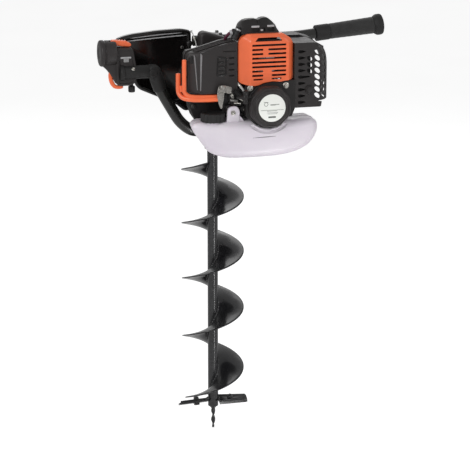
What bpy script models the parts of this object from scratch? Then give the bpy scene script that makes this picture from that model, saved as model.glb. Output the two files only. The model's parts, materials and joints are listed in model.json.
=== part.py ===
"""Petrol ice auger for one person: a 150 mm screw bit under a geared two-stroke engine.

Metres, +Z up. The bit turns on the Z axis and its pilot tip touches the origin. The recoil
starter faces -Y, the plain grip points to +X and the throttle hand sits at -X.
"""
import math

import bmesh
import bpy
from mathutils import Matrix, Vector

MM = 0.001
GAP = 0.3 * MM                 # space between neighbouring pieces
RUNNING = 0.1 * MM             # radial space between a shaft and its bore

# Bit
FLIGHT_R = 75 * MM
TUBE_R = 12.5 * MM
TUBE_BORE_R = 9.6 * MM
TUBE_BOTTOM = 57 * MM
TUBE_TOP = 730 * MM
RIM_LEFT_Z = [v * MM for v in (84.5, 243, 388, 525, 656)]   # height of the rim each full turn
FLIGHT_THICK = 4 * MM
BLADE_REACH = 85.5 * MM
BLADE_Z = 71 * MM
BLADE_THICK = 5 * MM
BLADE_RAKE = math.radians(24)
BLADE_DROOP = math.radians(2)

# Crank axis, along Y
CRANK_X = 80 * MM
CRANK_Z = 840 * MM
BORE_Y = -157 * MM             # middle of the cylinder bore
PISTON_R = 20 * MM
PIN_R = 5 * MM                 # wrist pin and crank pin
STROKE = 34 * MM
ROD_LENGTH = 62 * MM
TDC_PIN_Z = CRANK_Z + STROKE / 2 + ROD_LENGTH
DECK_RISE = 38 * MM            # crankcase deck above the crank axis

# Gear train: drum pinion -> layshaft gear, layshaft pinion -> bevel gear on the output shaft
MODULE = 2.5 * MM
PINION_TEETH = 8
SPUR_TEETH = 56
BEVEL_TEETH = 40
PRESSURE_ANGLE = math.radians(20)
WHEEL_ADDENDUM = 1.0 * MM
WHEEL_DEDENDUM = 3.0 * MM
PINION_ADDENDUM = 2.5 * MM
PINION_DEDENDUM = 1.4 * MM
TOOTH_SHARE = 0.45             # tooth thickness as a share of the pitch
BEVEL_FACE = 0.765             # inner end of a bevel tooth, as a share of the cone distance
SPUR_Y = (-92 * MM, -84 * MM)
OUTPUT_R = 9.3 * MM

# Handle bar
BAR_R = 12.5 * MM
BAR_Z = 961 * MM
GRIP_RISE = math.radians(5.4)
GRIP_BEND_X = 197 * MM
GRIP_END_X = 418 * MM

# Throttle hand
CONTROL_Y = -30 * MM
TRIGGER_PIVOT = Vector((-243, -30, 906)) * MM
LOCKOUT_PIVOT = Vector((-205, -30, 963)) * MM
KNOB_X = -200 * MM
ARM_START = Vector((-228, -44, 902)) * MM      # left end of the corner clamp's arm
ARM_R = 15.5 * MM
ARM_LENGTH = 86 * MM

# Small levers on the engine
CHOKE_PIVOT = Vector((-24, -184, 884)) * MM
ARM_PIVOT = Vector((2, -172, 852)) * MM
FUEL_CAP = Vector((-43, -173, 0)) * MM

# Outlines seen from the front, as (x, z) in millimetres
TANK_OUTLINE = [(-90, 804), (-96, 795), (-85, 773), (-69, 748), (-55, 734), (-28, 724), (10, 720),
                (90, 720), (134, 725), (164, 735), (184, 750), (196, 770), (199, 788), (190, 804)]
TANK_TAPER = 0.11              # how much the tank's left side leans in towards the back
PANEL_OUTLINE = [(-228, 968), (-213, 975), (-190, 980), (-130, 986), (-70, 988), (-47, 983),
                 (-45, 900), (-43, 780), (-60, 800), (-85, 812), (-134, 833), (-172, 849),
                 (-182, 861), (-196, 920)]
AIRBOX_OUTLINE = [(-100, 869), (13, 869), (13, 987), (-18, 981), (-76, 965), (-95, 962), (-100, 955)]


# ---------------------------------------------------------------- helpers

def clear_scene():
    for item in list(bpy.data.objects):
        bpy.data.objects.remove(item, do_unlink=True)


def in_mm(points):
    return [tuple(value * MM for value in point) for point in points]


def material(name, colour, roughness, metallic=0.0):
    made = bpy.data.materials.get(name)
    if made:
        return made
    made = bpy.data.materials.new(name)
    made.use_nodes = True
    shader = made.node_tree.nodes["Principled BSDF"]
    shader.inputs["Base Color"].default_value = (*colour, 1)
    shader.inputs["Roughness"].default_value = roughness
    shader.inputs["Metallic"].default_value = metallic
    made.diffuse_color = (*colour, 1)
    return made


def black_plastic():
    return material("black_plastic", (0.028, 0.025, 0.025), 0.5)


def gloss_black():
    return material("gloss_black", (0.012, 0.011, 0.011), 0.2)


def orange_plastic():
    return material("orange_plastic", (1.0, 0.19, 0.075), 0.38)


def black_paint():
    return material("black_paint", (0.02, 0.02, 0.02), 0.3)


def steel():
    return material("steel", (0.6, 0.6, 0.58), 0.35, 1.0)


def cast_metal():
    return material("cast_metal", (0.5, 0.5, 0.5), 0.55, 1.0)


def zinc():
    return material("zinc", (0.72, 0.72, 0.7), 0.3, 1.0)


def make(name, mesh, finish, origin=None):
    """Turn a bmesh into a named object whose origin sits at the given point."""
    origin = Vector(origin) if origin is not None else Vector((0, 0, 0))
    bmesh.ops.translate(mesh, verts=mesh.verts, vec=-origin)
    bmesh.ops.recalc_face_normals(mesh, faces=mesh.faces)
    data = bpy.data.meshes.new(name)
    mesh.to_mesh(data)
    mesh.free()
    data.shade_smooth()
    data.set_sharp_from_angle(angle=math.radians(35))
    data.materials.append(finish)
    made = bpy.data.objects.new(name, data)
    made.location = origin
    bpy.context.scene.collection.objects.link(made)
    return made


def carve(target, shapes, operation="DIFFERENCE"):
    """Apply each bmesh in shapes to the target with an exact Boolean."""
    for shape in shapes:
        count = len(target.modifiers)
        tool = make(f"{target.name}_{operation.lower()}_{count}", shape, target.data.materials[0])
        tool.hide_render = True
        tool.display_type = "WIRE"
        step = target.modifiers.new(f"step_{count}", "BOOLEAN")
        step.operation = operation
        step.solver = "EXACT"
        step.object = tool
    return target


def hollow_out(target, room):
    """Subtract an object that has its own modifiers, and keep it as a hidden guide."""
    room.hide_render = True
    room.display_type = "WIRE"
    step = target.modifiers.new("room", "BOOLEAN")
    step.operation = "DIFFERENCE"
    step.solver = "EXACT"
    step.object = room


def loft(rings):
    """Skin rings of equal point count and cap both ends."""
    mesh = bmesh.new()
    loops = [[mesh.verts.new(point) for point in ring] for ring in rings]
    count = len(loops[0])
    for lower, upper in zip(loops, loops[1:]):
        for i in range(count):
            j = (i + 1) % count
            mesh.faces.new((lower[i], lower[j], upper[j], upper[i]))
    mesh.faces.new(list(reversed(loops[0])))
    mesh.faces.new(loops[-1])
    return mesh


def place(mesh, origin=(0, 0, 0), axis=(0, 0, 1)):
    """Turn a bmesh built along +Z so that it runs along axis from origin."""
    turn = Vector((0, 0, 1)).rotation_difference(Vector(axis)).to_matrix().to_4x4()
    bmesh.ops.transform(mesh, matrix=Matrix.Translation(origin) @ turn, verts=mesh.verts)
    return mesh


def circle(radius, height, segments, phase=0.0):
    step = math.tau / segments
    return [(radius * math.cos(phase + i * step), radius * math.sin(phase + i * step), height)
            for i in range(segments)]


def turned(stations, origin=(0, 0, 0), axis=(0, 0, 1), segments=24):
    """Solid of revolution from (radius, height) stations."""
    return place(loft([circle(r, h, segments) for r, h in stations]), origin, axis)


def turned_ring(profile, origin=(0, 0, 0), axis=(0, 0, 1), segments=24):
    """Ring of revolution from a closed (radius, height) profile that stays off the axis."""
    mesh = bmesh.new()
    loops = [[mesh.verts.new(point) for point in circle(r, h, segments)] for r, h in profile]
    for lower, upper in zip(loops, loops[1:] + loops[:1]):
        for i in range(segments):
            j = (i + 1) % segments
            mesh.faces.new((lower[i], lower[j], upper[j], upper[i]))
    return place(mesh, origin, axis)


def rod(radius, start, end, segments=16):
    start, end = Vector(start), Vector(end)
    return turned([(radius, 0), (radius, (end - start).length)], start, end - start, segments)


def prism_y(outline, y_low, y_high):
    """Extrude an (x, z) outline along Y."""
    return loft([[(x, y, z) for x, z in outline] for y in (y_low, y_high)])


def prism_z(outline, z_low, z_high):
    """Extrude an (x, y) outline along Z."""
    return loft([[(x, y, z) for x, y in outline] for z in (z_low, z_high)])


def box(low, high):
    outline = [(low[0], low[1]), (high[0], low[1]), (high[0], high[1]), (low[0], high[1])]
    return prism_z(outline, low[2], high[2])


def box_mm(low, high):
    return box([value * MM for value in low], [value * MM for value in high])


def smooth_path(points, per_span=6):
    """Catmull-Rom curve through the points."""
    points = [Vector(point) for point in points]
    padded = [points[0] * 2 - points[1]] + points + [points[-1] * 2 - points[-2]]
    path = []
    for a, b, c, d in zip(padded, padded[1:], padded[2:], padded[3:]):
        for i in range(per_span):
            t = i / per_span
            path.append(0.5 * ((2 * b) + (c - a) * t + (2 * a - 5 * b + 4 * c - d) * t * t
                               + (3 * b - a - 3 * c + d) * t ** 3))
    path.append(points[-1])
    return path


def sweep(path, section, up=(0, 1, 0)):
    """Carry a flat section (across, along up) along a path."""
    path = [Vector(point) for point in path]
    up = Vector(up)
    rings = []
    for i, point in enumerate(path):
        ahead = path[min(i + 1, len(path) - 1)] - path[max(i - 1, 0)]
        across = up.cross(ahead).normalized()
        lift = ahead.cross(across).normalized()
        rings.append([point + across * a + lift * b for a, b in section])
    return loft(rings)


def round_section(radius, segments=14):
    return [(x, y) for x, y, _ in circle(radius, 0, segments)]


def flat_section(width, thickness):
    return [(-width / 2, -thickness / 2), (width / 2, -thickness / 2),
            (width / 2, thickness / 2), (-width / 2, thickness / 2)]


def grown(outline, amount):
    """Offset a convex-ish closed outline outwards by amount (inwards when negative)."""
    count = len(outline)
    area = sum(outline[i][0] * outline[(i + 1) % count][1] - outline[(i + 1) % count][0] * outline[i][1]
               for i in range(count))
    side = 1 if area > 0 else -1
    moved = []
    for i, point in enumerate(outline):
        here = Vector(point)
        before = (here - Vector(outline[i - 1])).normalized()
        after = (Vector(outline[(i + 1) % count]) - here).normalized()
        normal_a = Vector((before.y, -before.x)) * side
        normal_b = Vector((after.y, -after.x)) * side
        bisector = (normal_a + normal_b).normalized()
        moved.append(tuple(here + bisector * amount / max(0.35, bisector.dot(normal_a))))
    return moved


def shrunk(outline, amount):
    """Scale an outline about its middle so that each side of its box moves in by amount."""
    spans = [(min(axis), max(axis)) for axis in zip(*outline)]
    result = []
    for point in outline:
        moved = []
        for value, (low, high) in zip(point, spans):
            middle, half = (low + high) / 2, (high - low) / 2
            moved.append(middle + (value - middle) * (half - amount) / half)
        result.append(tuple(moved))
    return result


def rounded(outline, radius, steps=3):
    """Replace each corner of a closed outline with a short arc."""
    result = []
    count = len(outline)
    for i in range(count):
        corner = Vector(outline[i])
        back = Vector(outline[i - 1]) - corner
        forth = Vector(outline[(i + 1) % count]) - corner
        reach = min(radius, back.length * 0.45, forth.length * 0.45)
        start = corner + back.normalized() * reach
        end = corner + forth.normalized() * reach
        for k in range(steps + 1):
            t = k / steps
            result.append(tuple(start * (1 - t) ** 2 + corner * 2 * t * (1 - t) + end * t * t))
    return result


# ---------------------------------------------------------------- bit

def rim_height(turns):
    """Height of the flight's rim after a number of turns; the pitch grows downwards."""
    last = len(RIM_LEFT_Z) - 2
    index = max(0, min(last, int(math.floor(turns))))
    here, there = RIM_LEFT_Z[index], RIM_LEFT_Z[index + 1]
    return here + (there - here) * (turns - index)


def build_flighting():
    """Right-hand helix, counted from the rim's left side, one ramp wound on the tube."""
    per_turn = 28
    first, last = 0.03, 4.1
    count = int(round((last - first) * per_turn))
    inner = TUBE_R + GAP
    rings = []
    for i in range(count + 1):
        turns = first + (last - first) * i / count
        angle = math.pi + turns * math.tau
        height = rim_height(turns)
        half = FLIGHT_THICK / 2
        along = Vector((math.cos(angle), math.sin(angle), 0))
        rings.append([along * inner + Vector((0, 0, height - half)),
                      along * FLIGHT_R + Vector((0, 0, height - half)),
                      along * FLIGHT_R + Vector((0, 0, height + half)),
                      along * inner + Vector((0, 0, height + half))])
    return make("flighting", loft(rings), black_paint())


def blade_outline(side):
    """Plan view of one cutting blade: a bar with a slanted, chisel-like end that leads at its tip."""
    inner = TUBE_R + 1.5 * MM
    lead = 16 * MM
    trail = 14 * MM
    return [(side * inner, side * trail), (side * (BLADE_REACH - 3 * MM), side * (trail - 4 * MM)),
            (side * BLADE_REACH, -side * (lead - 3 * MM)), (side * inner, -side * lead)]


def build_blade(side, name, tube):
    """Raked blade bolted under an ear that is welded to the tube."""
    turn = (Matrix.Translation((0, 0, BLADE_Z)) @ Matrix.Rotation(side * BLADE_RAKE, 4, "X")
            @ Matrix.Rotation(side * BLADE_DROOP, 4, "Y"))
    under, over = -BLADE_THICK / 2, BLADE_THICK / 2
    ear_low, ear_high = over + GAP, over + GAP + 4 * MM
    at = Vector((side * 42 * MM, 0, 0))

    def seated(mesh):
        bmesh.ops.transform(mesh, matrix=turn, verts=mesh.verts)
        return mesh

    def bolt_hole():
        return seated(rod(4 * MM + GAP, at - Vector((0, 0, 20 * MM)), at + Vector((0, 0, 20 * MM)), 12))

    blade = make(name, seated(prism_z(blade_outline(side), under, over)), black_paint())
    carve(blade, [bolt_hole()])
    ear_start, ear_end, ear_half = side * 11 * MM, side * 60 * MM, 12 * MM
    ear = [(ear_start, -ear_half), (ear_end, -ear_half), (ear_end, ear_half), (ear_start, ear_half)]
    carve(tube, [seated(prism_z(ear, ear_low, ear_high))], "UNION")
    carve(tube, [bolt_hole()])
    head_r, shank_r, nut_r = 7 * MM, 4 * MM, 6.5 * MM
    bolt = turned([(head_r, under - 5 * MM), (head_r, under - GAP), (shank_r, under - GAP),
                   (shank_r, ear_high + GAP), (nut_r, ear_high + GAP), (nut_r, ear_high + 4.5 * MM)],
                  at, (0, 0, 1), 6)
    make(f"blade_bolt_{name.split('_')[-1]}", seated(bolt), zinc())


def build_pilot():
    """Twisted flat point with a solid shank that plugs the bottom of the tube."""
    length = TUBE_BOTTOM - 2 * MM
    twist = 1.25 * math.tau
    steps = 30
    rings = []
    for i in range(steps + 1):
        t = i / steps
        spread = min(1, t / 0.3)                # the point widens over its lowest third
        width = (2.4 + 2.8 * spread) * MM
        depth = (1.2 + 1.0 * spread) * MM
        angle = t * twist
        section = []
        for a, b in ((-1, -1), (0, -1.25), (1, -1), (1, 1), (0, 1.25), (-1, 1)):
            x, y = a * width, b * depth
            section.append((x * math.cos(angle) - y * math.sin(angle),
                            x * math.sin(angle) + y * math.cos(angle), t * length))
        rings.append(section)
    pilot = make("pilot_point", loft(rings), black_paint())
    shank_r = TUBE_BORE_R - GAP
    shank = turned([(5.4 * MM, TUBE_BOTTOM - 6 * MM), (shank_r, TUBE_BOTTOM - 1 * MM),
                    (shank_r, TUBE_BOTTOM + 34 * MM)], segments=16)
    carve(pilot, [shank], "UNION")


def build_bit():
    """Tube, flight, blades and point, with the output shaft pinned into the tube's top."""
    tube = make("auger_tube", turned_ring([(TUBE_R, TUBE_BOTTOM), (TUBE_R, TUBE_TOP),
                                           (TUBE_BORE_R, TUBE_TOP), (TUBE_BORE_R, TUBE_BOTTOM)],
                                          segments=22), black_paint())
    pin_z = TUBE_TOP - 22 * MM
    pin_r = 4 * MM
    cross = 24 * MM
    carve(tube, [rod(pin_r + GAP, (-cross, 0, pin_z), (cross, 0, pin_z), 12)])
    pin = turned([(7.5 * MM, -19 * MM), (7.5 * MM, -13 * MM), (pin_r, -13 * MM), (pin_r, 13 * MM),
                  (6.5 * MM, 13 * MM), (6.5 * MM, 18 * MM)], (0, 0, pin_z), (1, 0, 0), 12)
    make("coupling_pin", pin, zinc())
    build_flighting()
    build_blade(-1, "blade_left", tube)
    build_blade(1, "blade_right", tube)
    build_pilot()
    shaft = make("output_shaft", turned([(OUTPUT_R, 680 * MM), (OUTPUT_R, 742 * MM), (10 * MM, 742 * MM),
                                         (10 * MM, 884 * MM)], segments=24), steel())
    carve(shaft, [rod(pin_r + GAP, (-cross, 0, pin_z), (cross, 0, pin_z), 12)])


# ---------------------------------------------------------------- gears

def tooth_half_angle(radius, pitch_r, teeth):
    """Half the angle an involute tooth spans at a radius."""
    base_r = pitch_r * math.cos(PRESSURE_ANGLE)
    local = math.acos(min(1, base_r / max(radius, base_r)))
    spread = math.tan(PRESSURE_ANGLE) - PRESSURE_ANGLE
    return TOOTH_SHARE * math.pi / teeth + spread - (math.tan(local) - local)


def toothed_outline(teeth, addendum, dedendum, stations, phase=0.0):
    """Closed (x, y) outline of a spur gear; stations are shares of the tooth's height."""
    pitch_r = MODULE * teeth / 2
    outline = []
    for tooth in range(teeth):
        middle = phase + tooth * math.tau / teeth
        flank = []
        for share in stations:
            radius = pitch_r - dedendum + (addendum + dedendum) * share
            flank.append((radius, tooth_half_angle(radius, pitch_r, teeth)))
        polar = [(r, middle - a) for r, a in flank] + [(r, middle + a) for r, a in reversed(flank)]
        outline += [(r * math.cos(a), r * math.sin(a)) for r, a in polar]
    return outline


def pinion_outline(phase):
    return toothed_outline(PINION_TEETH, PINION_ADDENDUM, PINION_DEDENDUM,
                           (0, 0.35, 0.7, 1), phase)


def along_y(outline, centre_x, y):
    """Lay an outline out in the XZ plane; +Y is the gear's axis."""
    return [(centre_x + a, y, CRANK_Z + b) for a, b in outline]


def build_layshaft():
    """Shaft with an integral bevel pinion that meets the bevel gear from below."""
    half_pitch = math.pi / PINION_TEETH
    cone_y = -MODULE * BEVEL_TEETH / 2
    teeth = pinion_outline(half_pitch + math.pi / 2)
    rings = [along_y(teeth, 0, cone_y)]
    rings.append(along_y([(a * BEVEL_FACE, b * BEVEL_FACE) for a, b in teeth], 0, cone_y * BEVEL_FACE))
    pinion = loft(rings)
    shaft = make("layshaft", turned([(8 * MM, 0), (8 * MM, 46 * MM), (7 * MM, 46 * MM), (7 * MM, 58 * MM)],
                                    (0, -100 * MM, CRANK_Z), (0, 1, 0), 20), steel())
    carve(shaft, [pinion], "UNION")
    wheel = toothed_outline(SPUR_TEETH, WHEEL_ADDENDUM, WHEEL_DEDENDUM, (0, 1))
    gear = make("layshaft_gear", loft([along_y(wheel, 0, y) for y in SPUR_Y]), steel())
    bore = rod(8 * MM + GAP, (0, -0.1, CRANK_Z), (0, -0.07, CRANK_Z), 16)
    carve(gear, [bore])


def build_bevel_gear():
    """Bevel gear on the output shaft with its teeth facing down."""
    teeth = BEVEL_TEETH
    pitch_r = MODULE * teeth / 2
    apex_gap = MODULE * PINION_TEETH / 2
    half = TOOTH_SHARE * math.pi / teeth
    lean = math.tan(PRESSURE_ANGLE) / pitch_r
    outer, inner = [], []
    for tooth in range(teeth):
        middle = -math.pi / 2 + tooth * math.tau / teeth
        tip = half - WHEEL_ADDENDUM * lean
        root = half + WHEEL_DEDENDUM * lean
        for angle, drop in ((-root, -WHEEL_DEDENDUM), (-tip, WHEEL_ADDENDUM),
                            (tip, WHEEL_ADDENDUM), (root, -WHEEL_DEDENDUM)):
            a = middle + angle
            height = apex_gap - drop
            outer.append((pitch_r * math.cos(a), pitch_r * math.sin(a), CRANK_Z + height))
            inner.append((pitch_r * BEVEL_FACE * math.cos(a), pitch_r * BEVEL_FACE * math.sin(a),
                          CRANK_Z + height * BEVEL_FACE))
    web_z = CRANK_Z + 13.5 * MM
    back_z = CRANK_Z + 22 * MM
    hub = [(x * 0.9, y * 0.9, web_z) for x, y, _ in inner]
    back = [(x, y, back_z) for x, y, _ in outer]
    gear = make("output_bevel_gear", loft([hub, inner, outer, back]), steel())
    carve(gear, [rod(10 * MM + GAP, (0, 0, web_z - 0.01), (0, 0, back_z + 0.01), 20)])


def build_clutch_drum():
    """Cup that the shoes grip, with its shaft and pinion in one piece."""
    drum = make("clutch_drum", turned_ring([(34.5 * MM, 0), (37 * MM, 0), (37 * MM, 21 * MM),
                                            (3 * MM, 21 * MM), (3 * MM, 18 * MM), (34.5 * MM, 18 * MM)],
                                           (CRANK_X, -131.5 * MM, CRANK_Z), (0, 1, 0), 24), steel())
    shaft = turned([(8 * MM, 0), (8 * MM, 15 * MM), (7 * MM, 15 * MM), (7 * MM, 42 * MM)],
                   (CRANK_X, -112 * MM, CRANK_Z), (0, 1, 0), 20)
    half_pitch = math.pi / PINION_TEETH
    teeth = pinion_outline(math.pi + half_pitch)
    pinion = loft([along_y(teeth, CRANK_X, y) for y in (SPUR_Y[0] - MM, SPUR_Y[1] + MM)])
    carve(drum, [shaft, pinion], "UNION")


def build_gearbox():
    """Housing with a spur chamber in front, a bevel chamber behind and a neck below."""
    cast = cast_metal()
    spur_r = 75 * MM
    wall = 5 * MM
    centre = (0, CRANK_Z)

    def lobes(extra):
        """Outline of the big gear's circle run out to the pinion's small circle."""
        big, small = spur_r + extra, 17 * MM + extra
        lean = math.acos((big - small) / CRANK_X)
        arc = []
        steps = 20
        for i in range(steps + 1):
            a = lean + (math.tau - 2 * lean) * i / steps
            arc.append((big * math.cos(a), centre[1] + big * math.sin(a)))
        for i in range(7):
            a = -lean + 2 * lean * i / 6
            arc.append((CRANK_X + small * math.cos(a), centre[1] + small * math.sin(a)))
        return arc

    cover = make("gearbox_cover", prism_y(lobes(wall), -105.5 * MM, -100 * MM - GAP), cast)
    carve(cover, [rod(8 * MM + RUNNING, (CRANK_X, -0.12, CRANK_Z), (CRANK_X, -0.09, CRANK_Z), 20)])
    housing = make("gearbox_housing", prism_y(lobes(wall), -100 * MM, -66 * MM), cast)
    barrel = turned([(26 * MM, 744 * MM), (26 * MM, 800 * MM), (60 * MM, 818 * MM), (60 * MM, 886 * MM),
                     (52 * MM, 891 * MM)], segments=26)
    throat = box_mm((-50, -70, 819), (50, -30, 885))
    carve(housing, [barrel, throat], "UNION")
    spur_room = prism_y(lobes(0), -0.11, -79 * MM)
    bevel_room = turned([(54 * MM, 824 * MM), (54 * MM, 872 * MM)], segments=26)
    lay_bore = rod(8 * MM + RUNNING, (0, -0.09, CRANK_Z), (0, -0.05, CRANK_Z), 20)
    drum_bore = rod(7 * MM + RUNNING, (CRANK_X, -0.09, CRANK_Z), (CRANK_X, -0.068, CRANK_Z), 20)
    neck_bore = rod(12 * MM, (0, 0, 0.73), (0, 0, 0.83), 24)
    seat_low = rod(21 * MM, (0, 0, 0.73), (0, 0, 765 * MM), 28)
    top_bore = rod(10 * MM + RUNNING, (0, 0, 0.86), (0, 0, 887 * MM), 24)
    carve(housing, [spur_room, bevel_room, lay_bore, drum_bore, neck_bore, seat_low, top_bore])
    ring = turned_ring([(10 * MM + RUNNING, 746 * MM), (21 * MM - GAP, 746 * MM),
                        (21 * MM - GAP, 765 * MM - GAP), (10 * MM + RUNNING, 765 * MM - GAP)], segments=28)
    make("output_bearing", ring, steel())


# ---------------------------------------------------------------- engine inside

def build_crank():
    """Two webs with their shafts, and the fan on the front one."""
    web_r = 27 * MM
    front = turned([(web_r, 0), (web_r, 7.5 * MM), (8 * MM, 7.5 * MM), (8 * MM, 38 * MM)],
                   (CRANK_X, BORE_Y - 6.3 * MM, CRANK_Z), (0, -1, 0), 24)
    make("crank_half_front", front, steel())
    hub_r = 18.5 * MM
    rear = turned([(web_r, 0), (web_r, 7.5 * MM), (8 * MM, 7.5 * MM), (8 * MM, 21 * MM),
                   (hub_r, 21 * MM), (hub_r, 33 * MM)],
                  (CRANK_X, BORE_Y + 6.3 * MM, CRANK_Z), (0, 1, 0), 24)
    make("crank_half_rear", rear, steel())
    blades = []
    count = 12
    swept_blade = ((30, 0), (45, 0.16), (46, 0.30), (33, 0.22))     # (radius, turn) of its corners
    for i in range(count):
        start = math.tau * i / count
        for radius, swing in swept_blade:
            blades.append((radius * MM * math.cos(start + swing), radius * MM * math.sin(start + swing)))
    fan = make("flywheel_fan", loft([along_y(blades, CRANK_X, y) for y in (-199 * MM, -185.5 * MM)]),
               cast_metal(), (CRANK_X, -192 * MM, CRANK_Z))
    carve(fan, [rod(8 * MM + GAP, (CRANK_X, -0.21, CRANK_Z), (CRANK_X, -0.18, CRANK_Z), 20)])


def build_clutch_shoes():
    """Two shoes that fly out from the crank's hub towards the drum."""
    y_low, y_high = -129.5 * MM, -117.5 * MM
    inner_r, outer_r = 20 * MM, 32.5 * MM
    half_arc = 1.25
    for side, name in ((1, "clutch_shoe_a"), (-1, "clutch_shoe_b")):
        outline = []
        steps = 10
        for i in range(steps + 1):
            a = side * math.pi / 2 - half_arc + 2 * half_arc * i / steps
            outline.append((CRANK_X + outer_r * math.cos(a), CRANK_Z + outer_r * math.sin(a)))
        for i in range(steps + 1):
            a = side * math.pi / 2 + half_arc - 2 * half_arc * i / steps
            outline.append((CRANK_X + inner_r * math.cos(a), CRANK_Z + inner_r * math.sin(a)))
        make(name, prism_y(outline, y_low, y_high), cast_metal(),
             (CRANK_X, (y_low + y_high) / 2, CRANK_Z + side * 27 * MM))


def cross_rod(radius, half_length, height, segments=16):
    """Rod along Y, centred on the cylinder's middle plane."""
    return rod(radius, (CRANK_X, BORE_Y - half_length, height), (CRANK_X, BORE_Y + half_length, height),
               segments)


def build_piston():
    """Piston, rod and crank pin at top dead centre."""
    pin_z = TDC_PIN_Z
    top = pin_z + 14 * MM
    piston = make("piston", turned([(PISTON_R, pin_z - 18 * MM), (PISTON_R, top)],
                                   (CRANK_X, BORE_Y, 0), (0, 0, 1), 28), cast_metal(),
                  (CRANK_X, BORE_Y, pin_z))
    hollow = turned([(16.5 * MM, pin_z - 20 * MM), (16.5 * MM, pin_z + 9 * MM)],
                    (CRANK_X, BORE_Y, 0), (0, 0, 1), 24)
    carve(piston, [hollow])
    carve(piston, [cross_rod(PIN_R, 17 * MM, pin_z)], "UNION")
    big_z = CRANK_Z + STROKE / 2
    half_y = 5 * MM
    span = [y + BORE_Y for y in (-half_y, half_y)]
    blade = [(CRANK_X - 5 * MM, big_z + 8 * MM), (CRANK_X + 5 * MM, big_z + 8 * MM),
             (CRANK_X + 4 * MM, pin_z - 7 * MM), (CRANK_X - 4 * MM, pin_z - 7 * MM)]
    small_eye = cross_rod(9 * MM, half_y, pin_z)
    big_eye = cross_rod(11 * MM, half_y, big_z, 20)
    link = make("connecting_rod", prism_y(blade, span[0], span[1]), steel(), (CRANK_X, BORE_Y, pin_z))
    carve(link, [small_eye, big_eye], "UNION")
    reach = 30 * MM
    carve(link, [cross_rod(PIN_R + RUNNING, reach, pin_z), cross_rod(PIN_R + GAP, reach, big_z)])
    make("crank_pin", cross_rod(PIN_R, 5.6 * MM, big_z), steel())


def crankcase_outline():
    """Round case with a flat deck under the cylinder."""
    half_deck = 31 * MM
    case_r = 42 * MM
    deck = [(CRANK_X + half_deck, CRANK_Z + DECK_RISE), (CRANK_X - half_deck, CRANK_Z + DECK_RISE)]
    arc = []
    steps = 16
    for i in range(steps + 1):
        a = math.radians(155) + math.radians(230) * i / steps
        arc.append((CRANK_X + case_r * math.cos(a), CRANK_Z + case_r * math.sin(a)))
    return deck + arc


def build_crankcase():
    cast = cast_metal()
    """Two halves that meet on the bore's middle plane."""
    deck_z = CRANK_Z + DECK_RISE
    for name, y_low, y_high in (("crankcase_front", -182 * MM, BORE_Y - GAP / 2),
                                ("crankcase_rear", BORE_Y + GAP / 2, -132.5 * MM)):
        half = make(name, prism_y(crankcase_outline(), y_low, y_high), cast)
        room = rod(33 * MM, (CRANK_X, -172 * MM, CRANK_Z), (CRANK_X, -142 * MM, CRANK_Z), 28)
        shaft_bore = rod(8 * MM + RUNNING, (CRANK_X, -0.19, CRANK_Z), (CRANK_X, -0.13, CRANK_Z), 24)
        skirt = rod(22.6 * MM, (CRANK_X, BORE_Y, CRANK_Z + 20 * MM),
                    (CRANK_X, BORE_Y, deck_z + 10 * MM), 28)
        carve(half, [room, shaft_bore, skirt])


def build_cylinder():
    """Finned barrel with a skirt that drops into the crankcase."""
    base = CRANK_Z + DECK_RISE + GAP
    stations = [(22.3 * MM, base - 8 * MM), (22.3 * MM, base), (27 * MM, base), (27 * MM, base + 6 * MM)]
    fin_count = 6
    pitch = 15 * MM
    for i in range(fin_count):
        low = base + 9 * MM + i * pitch
        out = (40 - 2.4 * max(0, i - 4)) * MM
        stations += [(25.5 * MM, low), (out, low), (out, low + 3 * MM), (25.5 * MM, low + 3 * MM)]
    stations.append((20 * MM, base + 9 * MM + fin_count * pitch))
    barrel = make("cylinder", turned(stations, (CRANK_X, BORE_Y, 0), (0, 0, 1), 16), cast_metal())
    bore = rod(PISTON_R + RUNNING, (CRANK_X, BORE_Y, base - 20 * MM),
               (CRANK_X, BORE_Y, TDC_PIN_Z + 17 * MM), 28)
    port = box((CRANK_X + 15 * MM, BORE_Y - 9 * MM, base + 22 * MM),
               (CRANK_X + 45 * MM, BORE_Y + 9 * MM, base + 34 * MM))
    plug_z = base + 9 * MM + fin_count * pitch
    plug_hole = rod(5.3 * MM, (CRANK_X, BORE_Y, TDC_PIN_Z), (CRANK_X, BORE_Y, plug_z + 10 * MM), 12)
    carve(barrel, [bore, port, plug_hole])
    plug = turned([(5 * MM, plug_z - 18 * MM), (5 * MM, plug_z + GAP), (8 * MM, plug_z + GAP),
                   (8 * MM, plug_z + 7 * MM), (4 * MM, plug_z + 7 * MM), (4 * MM, plug_z + 20 * MM)],
                  (CRANK_X, BORE_Y, 0), (0, 0, 1), 12)
    make("spark_plug", plug, steel())
    return plug_z


# ---------------------------------------------------------------- engine outside

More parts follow.
